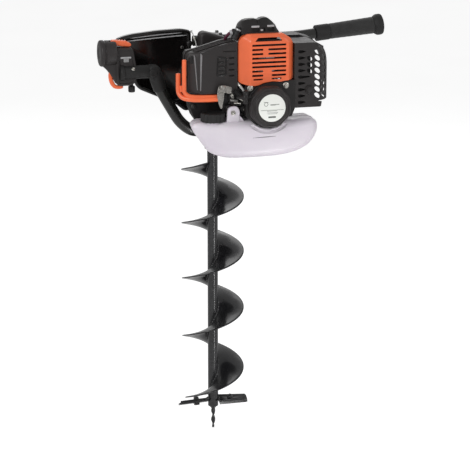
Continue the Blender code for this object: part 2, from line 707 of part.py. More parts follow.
def build_front_shroud():
    """Orange slotted cover with slanted flanks and cut top corners."""
    plan = in_mm([(17, -170), (17, -179), (38, -201), (128, -201), (142, -186), (142, -171)])
    face = in_mm([(15, 889), (15, 982), (20, 994), (33, 1003), (113, 1003), (134, 991), (143, 976),
                  (143, 893)])
    wall = 2.6 * MM
    shell = make("front_shroud", prism_z(plan, 0.88, 1.01), orange_plastic())
    carve(shell, [prism_y(face, -0.21, -0.14)], "INTERSECT")
    inner_plan = grown(plan, -wall)
    inner_plan[0] = (inner_plan[0][0], -0.14)
    inner_plan[-1] = (inner_plan[-1][0], -0.14)
    inner_face = grown(face, -wall)
    inner_face[0] = (inner_face[0][0], 0.87)
    inner_face[-1] = (inner_face[-1][0], 0.87)
    inner = prism_z(inner_plan, 0.86, 1.02)
    room = make("front_shroud_room", inner, orange_plastic())
    carve(room, [prism_y(inner_face, -0.3, -0.1)], "INTERSECT")
    hollow_out(shell, room)
    slots = [box_mm((42, -206, 907 + 9.85 * i), (122, -196, 911.4 + 9.85 * i)) for i in range(8)]
    slots.append(prism_y(in_mm([(50, 988), (112, 990), (107, 997), (56, 997)]), -0.206, -0.196))
    carve(shell, slots)


def recoil_outline(grow=0.0):
    """Octagon with rounded corners around the crank axis."""
    radius = 50.5 * MM + grow
    corners = [(CRANK_X + radius * math.cos(math.radians(22.5 + 45 * i)),
                CRANK_Z + radius * math.sin(math.radians(22.5 + 45 * i))) for i in range(8)]
    return rounded(corners, 14 * MM, 3)


def build_recoil():
    layers = [(0, -203), (0, -222), (-4, -228), (-9, -233)]
    rings = [[(x, y * MM, z) for x, z in recoil_outline(grow * MM)] for grow, y in layers]
    cover = make("recoil_cover", loft(rings), black_plastic())
    room = rod(40 * MM, (CRANK_X, -229.5 * MM, CRANK_Z), (CRANK_X, -0.2, CRANK_Z), 28)
    carve(cover, [room])
    post = rod(6 * MM, (CRANK_X, -231 * MM, CRANK_Z), (CRANK_X, -213 * MM, CRANK_Z), 16)
    carve(cover, [post], "UNION")
    rope_y, rope_z = -219 * MM, CRANK_Z + 25 * MM
    carve(cover, [rod(3 * MM, (CRANK_X - 70 * MM, rope_y, rope_z), (CRANK_X - 20 * MM, rope_y, rope_z), 10)])
    groove = [(6 * MM + RUNNING, -226.5), (32 * MM, -226.5), (32 * MM, -224.5), (26 * MM, -222.5),
              (26 * MM, -215.5), (32 * MM, -213.5), (32 * MM, -211.5), (6 * MM + RUNNING, -211.5)]
    pulley = turned_ring([(r, y * MM) for r, y in groove], (CRANK_X, 0, CRANK_Z), (0, 1, 0), 24)
    make("recoil_pulley", pulley, black_plastic(), (CRANK_X, rope_y, CRANK_Z))
    grip_x = CRANK_X - 62 * MM
    handle = turned([(2 * MM, 0), (2 * MM, 12 * MM), (5 * MM, 13 * MM), (6 * MM, 24 * MM)],
                    (grip_x + 12 * MM, rope_y, rope_z), (-1, 0, 0), 12)
    bar = turned([(4 * MM, -16 * MM), (6 * MM, -12 * MM), (6 * MM, 12 * MM), (4 * MM, 16 * MM)],
                 (grip_x - 12 * MM, rope_y, rope_z), (0, 0, 1), 12)
    pull = make("starter_handle", handle, black_plastic())
    carve(pull, [bar], "UNION")


def build_bolts():
    """Two flange bolts that hold the front cover and the starter to the case."""
    for name, x, z in (("shroud_bolt_left", 38, 881), ("shroud_bolt_right", 122, 884)):
        shape = turned([(3 * MM, -22 * MM), (3 * MM, 0), (7 * MM, 0), (7 * MM, 2 * MM), (5 * MM, 2 * MM),
                        (5 * MM, 6.5 * MM)], (x * MM, -199 * MM, z * MM), (0, -1, 0), 12)
        make(name, shape, zinc())


def build_top_cover(plug_z):
    """Black cap with two humps over the plug."""
    face = in_mm([(24, 1006), (20, 1016), (28, 1031), (55, 1034), (66, 1027), (74, 1036), (92, 1033),
                  (104, 1020), (112, 1006)])
    cap = make("top_cover", prism_y(face, -182 * MM, -122 * MM), black_plastic())
    above = [(-190 * MM, 1033 * MM), (-178 * MM, 1037 * MM), (-168 * MM, 1035.5 * MM), (-110 * MM, 1020 * MM),
             (-110 * MM, 1060 * MM), (-190 * MM, 1060 * MM)]
    carve(cap, [loft([[(x, y, z) for y, z in above] for x in (0, 0.13)])])
    inner = in_mm([(29, 1000), (27, 1013), (32, 1019), (66, 1019), (90, 1019), (99, 1015), (105, 1000)])
    skirt_low = 984 * MM + GAP
    skirt = [(24 * MM, skirt_low), (24 * MM, 1.01), (110 * MM, 1.01), (110 * MM, skirt_low)]
    carve(cap, [prism_y(skirt, -167.5 * MM, -122 * MM)], "UNION")
    carve(cap, [prism_y(inner, -179 * MM, -125 * MM),
                box_mm((27, -164.5, 980), (107, -125, 1012)),
                rod(11.5 * MM, (CRANK_X, BORE_Y, 0.98), (CRANK_X, BORE_Y, 1.008), 14)])
    boot = turned([(8 * MM, 0), (9 * MM, 12 * MM), (7 * MM, 17 * MM)],
                  (CRANK_X, BORE_Y, plug_z + 9 * MM), (0, 0, 1), 14)
    boot_piece = make("plug_cap", boot, black_plastic())
    carve(boot_piece, [rod(4 * MM + GAP, (CRANK_X, BORE_Y, plug_z),
                           (CRANK_X, BORE_Y, plug_z + 21 * MM), 12)])


def build_muffler():
    """Steel box beside the cylinder with a short inlet stub and an outlet at its far end."""
    port_z = CRANK_Z + 66 * MM
    muffler = make("muffler", box_mm((137, -169, 889), (179, -122, 945)),
                   material("muffler_steel", (0.35, 0.33, 0.3), 0.55, 1.0))
    stub = box((121.5 * MM, BORE_Y - 8 * MM, port_z - 7 * MM), (138 * MM, BORE_Y + 8 * MM, port_z + 7 * MM))
    carve(muffler, [stub], "UNION")
    room = box_mm((140, -166, 892), (176, -125, 942))
    inlet = box((0.11, BORE_Y - 5 * MM, port_z - 4 * MM), (0.15, BORE_Y + 5 * MM, port_z + 4 * MM))
    outlet = rod(6 * MM, (0.17, -0.14, 0.93), (0.19, -0.14, 0.93), 12)
    carve(muffler, [room, inlet, outlet])


def build_muffler_guard():
    """Slotted black guard: a front wall, a slanted corner and a latticed right side."""
    plan = in_mm([(143, -112), (143, -196), (189, -196), (222, -172), (236, -112)])
    face = in_mm([(142, 830), (142, 979), (189, 977), (214, 968), (230, 940), (238, 890), (238, 843),
                  (200, 830)])
    wall = 3 * MM
    shell = make("muffler_guard", prism_z(plan, 0.82, 0.985), black_plastic())
    carve(shell, [prism_y(face, -0.21, -0.1)], "INTERSECT")
    inner_plan = grown(plan, -wall)
    inner_plan[0] = (0.13, -0.1)
    inner_plan[1] = (0.13, inner_plan[1][1])
    inner_plan[-1] = (inner_plan[-1][0], -0.1)
    room = make("muffler_guard_room", prism_z(inner_plan, 0.81, 0.99), black_plastic())
    inner_face = grown(face, -wall)
    inner_face[0] = (0.12, inner_face[0][1])
    inner_face[1] = (0.12, inner_face[1][1])
    carve(room, [prism_y(inner_face, -0.3, -0.05)], "INTERSECT")
    hollow_out(shell, room)
    slots = [box_mm((153, -200, 845 + 15.5 * i), (171, -190, 851 + 15.5 * i)) for i in range(8)]
    lattice = []
    for row in range(6):
        z = (856 + 17 * row) * MM
        for along in (0.25, 0.75):
            at = Vector((189, -196, 0)).lerp(Vector((222, -172, 0)), along) * MM + Vector((0, 0, z))
            outward = Vector((24, -33, 0)).normalized() * 10 * MM
            lattice.append(rod(6 * MM, at - outward, at + outward, 4))
    for row in range(5):
        z = (856 + 17 * row) * MM
        for y in (-160, -142, -124):
            lattice.append(rod(6 * MM, (0.212, y * MM, z), (0.25, y * MM, z), 4))
    carve(shell, slots + lattice)


def airbox_face(grow=0.0):
    return grown(in_mm(AIRBOX_OUTLINE), grow)


def build_air_filter():
    """Cover, paper-and-foam element and base plate, stacked front to back."""
    cover = make("filter_cover", prism_y(airbox_face(), -180 * MM, -136 * MM), black_plastic())
    corner = prism_z(in_mm([(-120, -190), (-76, -190), (-76, -180), (-102, -158), (-120, -150)]), 0.85, 1.0)
    carve(cover, [corner])
    room = prism_y(airbox_face(-2.6 * MM), -177 * MM, -0.13)
    room_piece = make("filter_cover_room", room, black_plastic())
    carve(room_piece, [prism_z(in_mm([(-120, -190), (-70, -190), (-74, -177), (-98, -156), (-120, -150)]),
                               0.85, 1.0)])
    hollow_out(cover, room_piece)
    carve(cover, [rod(3 * MM + RUNNING, (CHOKE_PIVOT.x, -0.19, CHOKE_PIVOT.z),
                      (CHOKE_PIVOT.x, -0.17, CHOKE_PIVOT.z), 12)])
    base = make("filter_base", prism_y(airbox_face(), -136 * MM + GAP, -118 * MM), black_plastic())
    carve(base, [prism_y(airbox_face(-4 * MM), -0.14, -123 * MM),
                 rod(11 * MM, (-10 * MM, -0.13, 0.885), (-10 * MM, -0.1, 0.885), 16)])
    make("filter_element", box_mm((-92, -154, 877), (5, -125, 953)),
         material("foam", (0.06, 0.06, 0.055), 0.95))


def build_filter_guard():
    """Orange bar that wraps the left side and the bottom of the air filter."""
    low = in_mm([(-117, -150, 916), (-117, -152, 875), (-110, -161, 863), (-92, -173, 858), (-58, -181, 857),
                 (-32, -183, 857)])
    guard = make("filter_guard", sweep(smooth_path(low, 3), flat_section(9 * MM, 9 * MM)), orange_plastic())
    upright = sweep(in_mm([(-106, -165, 950), (-107, -165, 865)]), flat_section(8 * MM, 8 * MM))
    carve(guard, [upright], "UNION")


def build_carburettor():
    """Carburettor with its throttle arm, and the choke lever on the air box in front of it."""
    body = make("carburettor", box_mm((-12, -168, 836), (30, -136, 864)), cast_metal())
    boss = rod(13 * MM, (30 * MM - MM, -152 * MM, 850 * MM), (37.5 * MM, -152 * MM, 850 * MM), 16)
    bowl = rod(12 * MM, (8 * MM, -152 * MM, 812 * MM), (8 * MM, -152 * MM, 837 * MM), 16)
    carve(body, [boss, bowl], "UNION")
    carve(body, [rod(7 * MM, (-20 * MM, -152 * MM, 850 * MM), (45 * MM, -152 * MM, 850 * MM), 16)])
    arm_outline = in_mm([(-4, -5), (4, -5), (5, 4), (3, 15), (-3, 15), (-5, 4)])
    arm = prism_y([(ARM_PIVOT.x + a, ARM_PIVOT.z + b) for a, b in arm_outline], -171.5 * MM, -169 * MM)
    make("throttle_arm", arm, zinc(), ARM_PIVOT)
    leaf = in_mm([(-6, 4), (-5, -6), (-10, -20), (-11, -40), (-7, -47), (-2, -43), (1, -28), (4, -8),
                  (6, 3), (3, 9), (-3, 9)])
    lever = make("choke_lever", prism_y([(CHOKE_PIVOT.x + a, CHOKE_PIVOT.z + b) for a, b in leaf],
                                        -190.5 * MM, -188.5 * MM), zinc(), CHOKE_PIVOT)
    hub = turned([(3 * MM, 0), (3 * MM, 4 * MM), (6 * MM, 4 * MM), (6 * MM, 14 * MM)],
                 (CHOKE_PIVOT.x, -176 * MM, CHOKE_PIVOT.z), (0, -1, 0), 12)
    carve(lever, [hub], "UNION")


def tank_body(inset=0.0):
    """Hull-like body: a front outline carried back, with narrower end faces."""
    steps = ((12, -208), (4, -203), (0, -194), (0, -128), (4, -119), (12, -114))
    rings = []
    for narrower, y in steps:
        depth = y * MM + (-inset if y > -160 else inset)
        lean = TANK_TAPER * (depth + 200 * MM)
        rings.append([(x + lean if x < 0 else x, depth, z)
                      for x, z in shrunk(in_mm(TANK_OUTLINE), inset + narrower * MM)])
    return loft(rings)


def build_tank():
    """Tank with a saddle for the starter, a filler neck and a mounting lug, and its ribbed cap."""
    white = material("tank_plastic", (0.83, 0.78, 0.83), 0.35)
    wall = 2.5 * MM
    saddle_r = 53 * MM
    tank = make("fuel_tank", tank_body(), white)
    neck = turned([(18 * MM, 800 * MM), (18 * MM, 816 * MM)], (FUEL_CAP.x, FUEL_CAP.y, 0), (0, 0, 1), 20)
    lug_face = in_mm([(-14, 800), (13, 800), (13, 832), (5, 840), (-7, 838), (-14, 828)])
    lug = prism_y(lug_face, -190 * MM, -182 * MM)
    carve(tank, [neck, lug], "UNION")
    carve(tank, [rod(saddle_r, (CRANK_X, -0.22, CRANK_Z), (CRANK_X, -0.1, CRANK_Z), 32),
                 rod(3.5 * MM, (1 * MM, -0.2, 827 * MM), (1 * MM, -0.17, 827 * MM), 12)])
    room = make("fuel_tank_room", tank_body(wall), white)
    carve(room, [rod(saddle_r + wall, (CRANK_X, -0.22, CRANK_Z), (CRANK_X, -0.1, CRANK_Z), 32)])
    hollow_out(tank, room)
    carve(tank, [rod(14 * MM, (FUEL_CAP.x, FUEL_CAP.y, 0.79), (FUEL_CAP.x, FUEL_CAP.y, 0.83), 20)])
    ridges = 20
    outline = []
    for i in range(ridges * 2):
        radius = (28 if i % 2 else 26.4) * MM
        a = math.tau * (i + 0.5) / (ridges * 2)
        outline.append((FUEL_CAP.x + radius * math.cos(a), FUEL_CAP.y + radius * math.sin(a)))
    cap = make("fuel_cap", prism_z(outline, 804.5 * MM, 825 * MM), black_plastic(),
               (FUEL_CAP.x, FUEL_CAP.y, 815 * MM))
    carve(cap, [rod(18 * MM + GAP, (FUEL_CAP.x, FUEL_CAP.y, 0.8), (FUEL_CAP.x, FUEL_CAP.y, 816.5 * MM), 20)])


def build_cylinder_shroud():
    """Black sheet hood behind and over the cylinder, running down towards the right."""
    plan = in_mm([(15, -167), (134, -167), (134, -111), (240, -111), (240, -62), (15, -62)])
    face = in_mm([(14, 926), (14, 976), (30, 984), (178, 984), (208, 975), (228, 958), (238, 955),
                  (238, 948), (203, 945), (203, 926)])
    hood = make("cylinder_shroud", prism_z(plan, 0.92, 0.99), black_plastic())
    carve(hood, [prism_y(face, -0.18, -0.05)], "INTERSECT")
    inner_plan = in_mm([(18, -175), (131, -175), (131, -108), (237, -108), (237, -65), (18, -65)])
    inner_face = in_mm([(17, 920), (17, 974), (31, 981), (177, 981), (206, 972), (226, 955), (235, 952),
                        (235, 930), (200, 930), (200, 920)])
    room = make("cylinder_shroud_room", prism_z(inner_plan, 0.91, 1.0), black_plastic())
    carve(room, [prism_y(inner_face, -0.19, -0.04)], "INTERSECT")
    hollow_out(hood, room)
    carve(hood, [rod(12 * MM, (CRANK_X, BORE_Y, 0.97), (CRANK_X, BORE_Y, 1.0), 16)])


# ---------------------------------------------------------------- handles and controls

def grip_axis(x):
    """Point on the right grip's axis at a given x."""
    return Vector((x, 0, BAR_Z + max(0, x - GRIP_BEND_X) * math.tan(GRIP_RISE)))


def build_handles():
    """Right bar and foam grip, and the curved tube that carries the throttle hand."""
    bend = grip_axis(GRIP_BEND_X)
    end = grip_axis(GRIP_END_X - 8 * MM)
    along = (end - bend).normalized()
    ease = 12 * MM
    path = [Vector((-46 * MM, 0, BAR_Z)), bend - Vector((ease, 0, 0)), bend + along * ease, end]
    make("handle_bar", sweep(path, round_section(BAR_R, 20)), black_paint())
    start = grip_axis(252 * MM)
    length = (grip_axis(GRIP_END_X) - start).length
    profile = [(BAR_R + GAP, 0), (19 * MM, 0), (19 * MM, 33 * MM), (18 * MM, 34 * MM), (19.5 * MM, 90 * MM),
               (20 * MM, length - 26 * MM), (25 * MM, length - 16 * MM), (25 * MM, length - 4 * MM),
               (22 * MM, length), (2 * MM, length), (2 * MM, length - 6 * MM), (BAR_R + GAP, length - 6 * MM)]
    make("grip", turned_ring(profile, start, along, 20), material("grip_foam", (0.03, 0.03, 0.032), 0.85))
    tube = in_mm([(-144, -44, 880), (-137, -43, 860), (-106, -36, 806), (-86, -32, 776),
                  (-60, -27, 755), (-31, -20, 750)])
    route = smooth_path(tube, 2)
    make("left_tube", sweep(route, round_section(13.5 * MM, 14)), black_paint())
    elbow = make("elbow", turned([(13 * MM, 0), (ARM_R, 3 * MM), (ARM_R, ARM_LENGTH - 6 * MM),
                                  (13 * MM, ARM_LENGTH)], ARM_START, (1, 0, 0), 20), black_plastic())
    mouth = route[0]
    along_tube = (route[1] - mouth).normalized()
    socket = turned([(15.5 * MM, 0), (16.5 * MM, 14 * MM), (14 * MM, 27 * MM)], mouth - along_tube * MM,
                    -along_tube, 18)
    carve(elbow, [socket], "UNION")


def build_bracket():
    """Clamp that carries the handle bar on top of the gearbox."""
    block = make("handle_bracket", box_mm((-24, -22, 891.3), (24, 22, 976)), cast_metal())
    carve(block, [rod(BAR_R + GAP, (-0.05, 0, BAR_Z), (0.05, 0, BAR_Z), 24)])


def build_panel():
    """Hip panel: a glossy dished plate with a raised rim."""
    outline = in_mm(PANEL_OUTLINE)
    panel = make("hip_panel", prism_y(outline, 14 * MM, 32 * MM), gloss_black())
    carve(panel, [prism_y(shrunk(outline, 7 * MM), 0.005, 22 * MM),
                  rod(62 * MM, (0, 0, 0.77), (0, 0, 894 * MM), 28)])
    cover = in_mm([(-42, 945), (-42, 984), (-32, 990), (-13, 985), (13, 977), (21, 970), (24, 945)])
    back = make("back_cover", prism_y(cover, -56 * MM, -26 * MM), black_plastic())
    carve(back, [prism_y(grown(cover, -3 * MM), -53 * MM, -0.02)])


def build_throttle_hand():
    """Control housing with its trigger, lock-out, stop switch and clamp knob."""
    face = in_mm([(-264, 978), (-236, 979), (-236, 958), (-198, 958), (-191, 950), (-191, 871), (-234, 871),
                  (-262, 914)])

    def slab(outline, half_width):
        """Outline made as thick to the front as to the back of the hand's middle plane."""
        return prism_y(outline, CONTROL_Y - half_width, CONTROL_Y + half_width)

    housing = make("throttle_housing", slab(face, 18 * MM), black_plastic())
    flange = turned([(26 * MM, 0), (30.5 * MM, 4 * MM), (30.5 * MM, 10 * MM), (28 * MM, 12.5 * MM)],
                    Vector((-263, -30, 946)) * MM, (-1, 0, 0), 24)
    carve(housing, [flange], "UNION")
    trigger_room = slab(in_mm([(-275, 850), (-208, 850), (-208, 880), (-226, 916), (-252, 922),
                               (-275, 905)]), 6 * MM)
    lever_room = box_mm((-252, -39, 957), (-234, -21, 990))
    arm_room = rod(ARM_R + GAP, ARM_START - Vector((GAP, 0, 0)), ARM_START + Vector((ARM_LENGTH, 0, 0)), 20)
    carve(housing, [trigger_room, lever_room, arm_room])
    hook = in_mm([(-246, 911), (-239, 909), (-245, 893), (-243, 882), (-238, 873), (-231, 870), (-222, 872),
                  (-221, 864), (-231, 862), (-243, 865), (-251, 876), (-254, 893), (-251, 905)])
    make("throttle_trigger", slab(hook, 5 * MM), orange_plastic(), TRIGGER_PIVOT)
    lever = in_mm([(-248, 969), (-244, 965), (-206, 960), (-201, 961), (-201, 967), (-210, 972), (-246, 977)])
    make("lockout_lever", slab(lever, 8 * MM), orange_plastic(), LOCKOUT_PIVOT)
    make("stop_switch", box_mm((-222, -52, 927), (-210, -48.3, 936)),
         material("switch", (0.6, 0.6, 0.6), 0.5), Vector((-216, -50, 931.5)) * MM)
    knob = turned([(7.5 * MM, 853 * MM), (8 * MM, 858 * MM), (8 * MM, 867 * MM), (4 * MM, 867 * MM),
                   (4 * MM, 871 * MM - GAP)], (KNOB_X, CONTROL_Y, 0), (0, 0, 1), 12)
    make("clamp_knob", knob, black_plastic(), (KNOB_X, CONTROL_Y, 860 * MM))


def build():
    clear_scene()
    build_bit()
    build_layshaft()
    build_bevel_gear()
    build_clutch_drum()
    build_gearbox()
    build_crank()
    build_clutch_shoes()
    build_piston()
    build_crankcase()
    plug_z = build_cylinder()
    build_front_shroud()
    build_recoil()
    build_bolts()
    build_top_cover(plug_z)
    build_muffler()
    build_muffler_guard()
    build_air_filter()
    build_filter_guard()
    build_carburettor()
    build_tank()
    build_cylinder_shroud()
    build_handles()
    build_bracket()
    build_panel()
    build_throttle_hand()


build()
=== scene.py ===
"""Looks of the petrol ice auger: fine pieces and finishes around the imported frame.

Lengths in this script are millimetres until piece() turns them into metres. Places are worked out
from the frame: the crank axis, the choke and trigger pivots, and the boxes of the CAD nodes.
"""
import json
import math

import bmesh
import bpy
from mathutils import Matrix, Vector


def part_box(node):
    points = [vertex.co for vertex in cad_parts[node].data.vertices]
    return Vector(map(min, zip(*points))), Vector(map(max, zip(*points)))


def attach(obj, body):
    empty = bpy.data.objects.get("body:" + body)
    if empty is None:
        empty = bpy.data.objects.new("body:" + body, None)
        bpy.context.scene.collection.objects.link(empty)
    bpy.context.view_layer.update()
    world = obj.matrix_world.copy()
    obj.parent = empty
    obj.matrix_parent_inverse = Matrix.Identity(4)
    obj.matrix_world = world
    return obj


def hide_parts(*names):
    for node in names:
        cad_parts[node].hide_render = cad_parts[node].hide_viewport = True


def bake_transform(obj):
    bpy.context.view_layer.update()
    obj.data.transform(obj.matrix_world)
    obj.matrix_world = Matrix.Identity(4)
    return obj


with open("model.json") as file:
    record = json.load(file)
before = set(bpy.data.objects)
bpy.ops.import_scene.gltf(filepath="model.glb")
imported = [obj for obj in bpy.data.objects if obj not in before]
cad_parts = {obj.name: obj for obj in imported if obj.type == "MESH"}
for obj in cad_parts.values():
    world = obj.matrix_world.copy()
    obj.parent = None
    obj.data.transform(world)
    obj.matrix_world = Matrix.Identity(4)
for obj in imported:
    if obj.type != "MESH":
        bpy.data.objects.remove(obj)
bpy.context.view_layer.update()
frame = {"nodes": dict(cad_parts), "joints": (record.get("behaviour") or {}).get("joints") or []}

JOINTS = {joint["name"]: joint for joint in frame["joints"]}
ENGINE = "engine_unit"


def joint_place(name):
    return Vector(JOINTS[name]["pos_m"]) * 1000


BOXES = {name: tuple(corner * 1000 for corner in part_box(name)) for name in frame["nodes"]}


def node_box(node):
    """Lowest and highest corner of a CAD node, in millimetres."""
    low, high = BOXES[node]
    return low.copy(), high.copy()


CRANK = joint_place("crank_spin")
CHOKE = joint_place("choke_turn")
TRIGGER = joint_place("trigger_pull")
LOCKOUT = joint_place("lockout_press")


# ---------------------------------------------------------------- shapes

def rounded(outline, radius, steps=4):
    """Replace each corner of a closed outline with a short arc."""
    result = []
    count = len(outline)
    for i in range(count):
        corner = Vector(outline[i])
        back = Vector(outline[i - 1]) - corner
        forth = Vector(outline[(i + 1) % count]) - corner
        reach = min(radius, back.length * 0.48, forth.length * 0.48)
        start = corner + back.normalized() * reach
        end = corner + forth.normalized() * reach
        for k in range(steps + 1):
            t = k / steps
            result.append(tuple(start * (1 - t) ** 2 + corner * 2 * t * (1 - t) + end * t * t))
    return result


def rectangle(x_low, x_high, z_low, z_high, radius=0.0, steps=3):
    corners = [(x_low, z_low), (x_high, z_low), (x_high, z_high), (x_low, z_high)]
    return rounded(corners, radius, steps) if radius else corners


def disc(radius, centre=(0, 0), segments=32, phase=0.0):
    step = math.tau / segments
    return [(centre[0] + radius * math.cos(phase + i * step), centre[1] + radius * math.sin(phase + i * step))
            for i in range(segments)]


def smooth_path(points, per_span=8, closed=False):
    """Catmull-Rom curve through the points."""
    points = [Vector(point) for point in points]
    if closed:
        padded = [points[-1]] + points + points[:2]
    else:
        padded = [points[0] * 2 - points[1]] + points + [points[-1] * 2 - points[-2]]
    path = []
    for a, b, c, d in zip(padded, padded[1:], padded[2:], padded[3:]):
        for i in range(per_span):
            t = i / per_span
            path.append(0.5 * ((2 * b) + (c - a) * t + (2 * a - 5 * b + 4 * c - d) * t * t
                               + (3 * b - a - 3 * c + d) * t ** 3))
    if not closed:
        path.append(points[-1])
    return path


def loft(rings, loop=False):
    """Skin rings of equal point count, closed by a cap at each end or joined into a loop."""
    mesh = bmesh.new()
    loops = [[mesh.verts.new(point) for point in ring] for ring in rings]
    count = len(loops[0])
    following = loops[1:] + (loops[:1] if loop else [])
    for lower, upper in zip(loops, following):
        for i in range(count):
            j = (i + 1) % count
            mesh.faces.new((lower[i], lower[j], upper[j], upper[i]))
    if not loop:
        mesh.faces.new(list(reversed(loops[0])))
        mesh.faces.new(loops[-1])
    return mesh


def moved(mesh, matrix):
    bmesh.ops.transform(mesh, matrix=matrix, verts=mesh.verts)
    return mesh


def placed(mesh, place):
    return moved(mesh, Matrix.Translation(place))


def aimed(mesh, origin, axis=(0, 0, 1)):
    """Turn a bmesh built along +Z so that it runs along axis from origin."""
    turn = Vector((0, 0, 1)).rotation_difference(Vector(axis)).to_matrix().to_4x4()
    return moved(mesh, Matrix.Translation(origin) @ turn)


def turned(stations, origin=(0, 0, 0), axis=(0, 0, 1), segments=48, loop=False):
    """Solid of revolution from (radius, height) stations, or a ring from a closed profile."""
    rings = [[(x, y, h) for x, y in disc(r, segments=segments)] for r, h in stations]
    return aimed(loft(rings, loop=loop), origin, axis)


def tube(path, radius, segments=20):
    """Sweep a round section along a path without twisting it; radius may be a list."""
    path = [Vector(point) for point in path]
    ahead = (path[1] - path[0]).normalized()
    side = ahead.orthogonal().normalized()
    if abs(ahead.y) < 0.9:
        side = Vector((0, 1, 0)).cross(ahead).normalized()
    rings = []
    for i, point in enumerate(path):
        step = (path[min(i + 1, len(path) - 1)] - path[max(i - 1, 0)]).normalized()
        side = (side - step * side.dot(step)).normalized()
        lift = step.cross(side)
        r = radius[i] if isinstance(radius, list) else radius
        rings.append([point + side * x * r + lift * y * r for x, y in disc(1, segments=segments)])
    return loft(rings)


def plate(outline, holes=(), depth=3.0, edge=0.5, steps=2):
    """Plate in the XZ plane with rounded edges; its front is at y = 0 and its back at y = depth."""
    curve = bpy.data.curves.new("outline", "CURVE")
    curve.dimensions = "2D"
    curve.fill_mode = "BOTH"
    curve.extrude = depth / 2 - edge
    curve.bevel_depth = edge
    curve.bevel_resolution = steps
    curve.offset = -edge
    for ring in (outline, *holes):
        spline = curve.splines.new("POLY")
        spline.points.add(len(ring) - 1)
        for point, (x, z) in zip(spline.points, ring):
            point.co = (x, z, 0, 1)
        spline.use_cyclic_u = True
    holder = bpy.data.objects.new("outline", curve)
    bpy.context.scene.collection.objects.link(holder)
    graph = bpy.context.evaluated_depsgraph_get()
    flat = bpy.data.meshes.new_from_object(holder.evaluated_get(graph))
    mesh = bmesh.new()
    mesh.from_mesh(flat)
    bpy.data.objects.remove(holder)
    bpy.data.curves.remove(curve)
    bpy.data.meshes.remove(flat)
    bmesh.ops.remove_doubles(mesh, verts=mesh.verts, dist=0.01)
    for vert in mesh.verts:
        vert.co = Vector((vert.co.x, depth / 2 - vert.co.z, vert.co.y))
    return mesh


def slab(corner, x_span, z_span, y, depth, edge=0.5, radius=0.0, steps=2):
    """Rectangular plate, measured from a corner, with its front at y."""
    outline = rectangle(corner.x + x_span[0], corner.x + x_span[1], corner.z + z_span[0],
                        corner.z + z_span[1], radius)
    return placed(plate(outline, (), depth, edge, steps), (0, y, 0))


def offset(corner, points):
    """Outline given from a corner or an axis, as (x, z) of the frame."""
    return [(corner.x + x, corner.z + z) for x, z in points]


def route(start, points):
    """Path given from a place, as points of the frame."""
    return [(start[0] + x, start[1] + y, start[2] + z) for x, y, z in points]


def sliced(mesh, axis, places):
    """Cut extra edges into a mesh, so that it can bend there."""
    normal = Vector([1.0 if i == axis else 0.0 for i in range(3)])
    for place in places:
        bmesh.ops.bisect_plane(mesh, geom=mesh.verts[:] + mesh.edges[:] + mesh.faces[:], dist=1e-4,
                               plane_co=normal * place, plane_no=normal)
    return mesh


def bent(mesh, rule):
    for vert in mesh.verts:
        vert.co = Vector(rule(vert.co))
    return mesh


def joined(*meshes):
    """One bmesh that holds several closed shapes."""
    whole = bmesh.new()
    for mesh in meshes:
        carrier = bpy.data.meshes.new("carrier")
        mesh.to_mesh(carrier)
        mesh.free()
        whole.from_mesh(carrier)
        bpy.data.meshes.remove(carrier)
    return whole


def steps_between(low, high, step):
    count = max(1, round((high - low) / step))
    return [low + (high - low) * i / count for i in range(count + 1)]


def soft_high(values, softness):
    """Highest of the values, with the crossover between them rounded off."""
    top = max(values)
    return top + softness * math.log(sum(math.exp((value - top) / softness) for value in values))


def to_metres(mesh, name):
    """Blender mesh in metres, made from a millimetre bmesh, which it frees."""
    bmesh.ops.scale(mesh, vec=(0.001, 0.001, 0.001), verts=mesh.verts)
    bmesh.ops.recalc_face_normals(mesh, faces=mesh.faces)
    data = bpy.data.meshes.new(name)
    mesh.to_mesh(data)
    mesh.free()
    return data


def shade(data, crease):
    """Smooth faces, with a sharp edge wherever the fold is over crease degrees."""
    data.shade_smooth()
    data.set_sharp_from_angle(angle=math.radians(crease))


def piece(name, mesh, finish, body=ENGINE, stands_for=None, crease=38):
    """Turn a millimetre bmesh into an object that rides on a body and may stand for a CAD node."""
    data = to_metres(mesh, name)
    data.materials.append(finish)
    shade(data, crease)
    made = bpy.data.objects.new(name, data)
    bpy.context.scene.collection.objects.link(made)
    if body:
        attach(made, body)
    if stands_for:
        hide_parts(stands_for)
    return made


def soften(thing, width, segments=2):
    """Rounded edges for a thing whose mesh is still sharp; width in millimetres."""
    bevel = thing.modifiers.new("soft_edges", "BEVEL")
    bevel.width = width / 1000
    bevel.segments = segments
    bevel.limit_method = "ANGLE"
    bevel.angle_limit = math.radians(35)
    bevel.harden_normals = True


def cut_away(thing, *cutters):
    """Subtract millimetre bmeshes from an object and keep the result as its mesh."""
    for cutter in cutters:
        data = to_metres(cutter, "cutter")
        tool = bpy.data.objects.new("cutter", data)
        bpy.context.scene.collection.objects.link(tool)
        step = thing.modifiers.new("cut", "BOOLEAN")
        step.operation = "DIFFERENCE"
        step.solver = "EXACT"
        step.use_self = True
        step.object = tool
        graph = bpy.context.evaluated_depsgraph_get()
        result = bpy.data.meshes.new_from_object(thing.evaluated_get(graph))
        thing.modifiers.remove(step)
        thing.data = result
        bpy.data.objects.remove(tool)
        bpy.data.meshes.remove(data)
    shade(thing.data, 38)


# ---------------------------------------------------------------- finishes

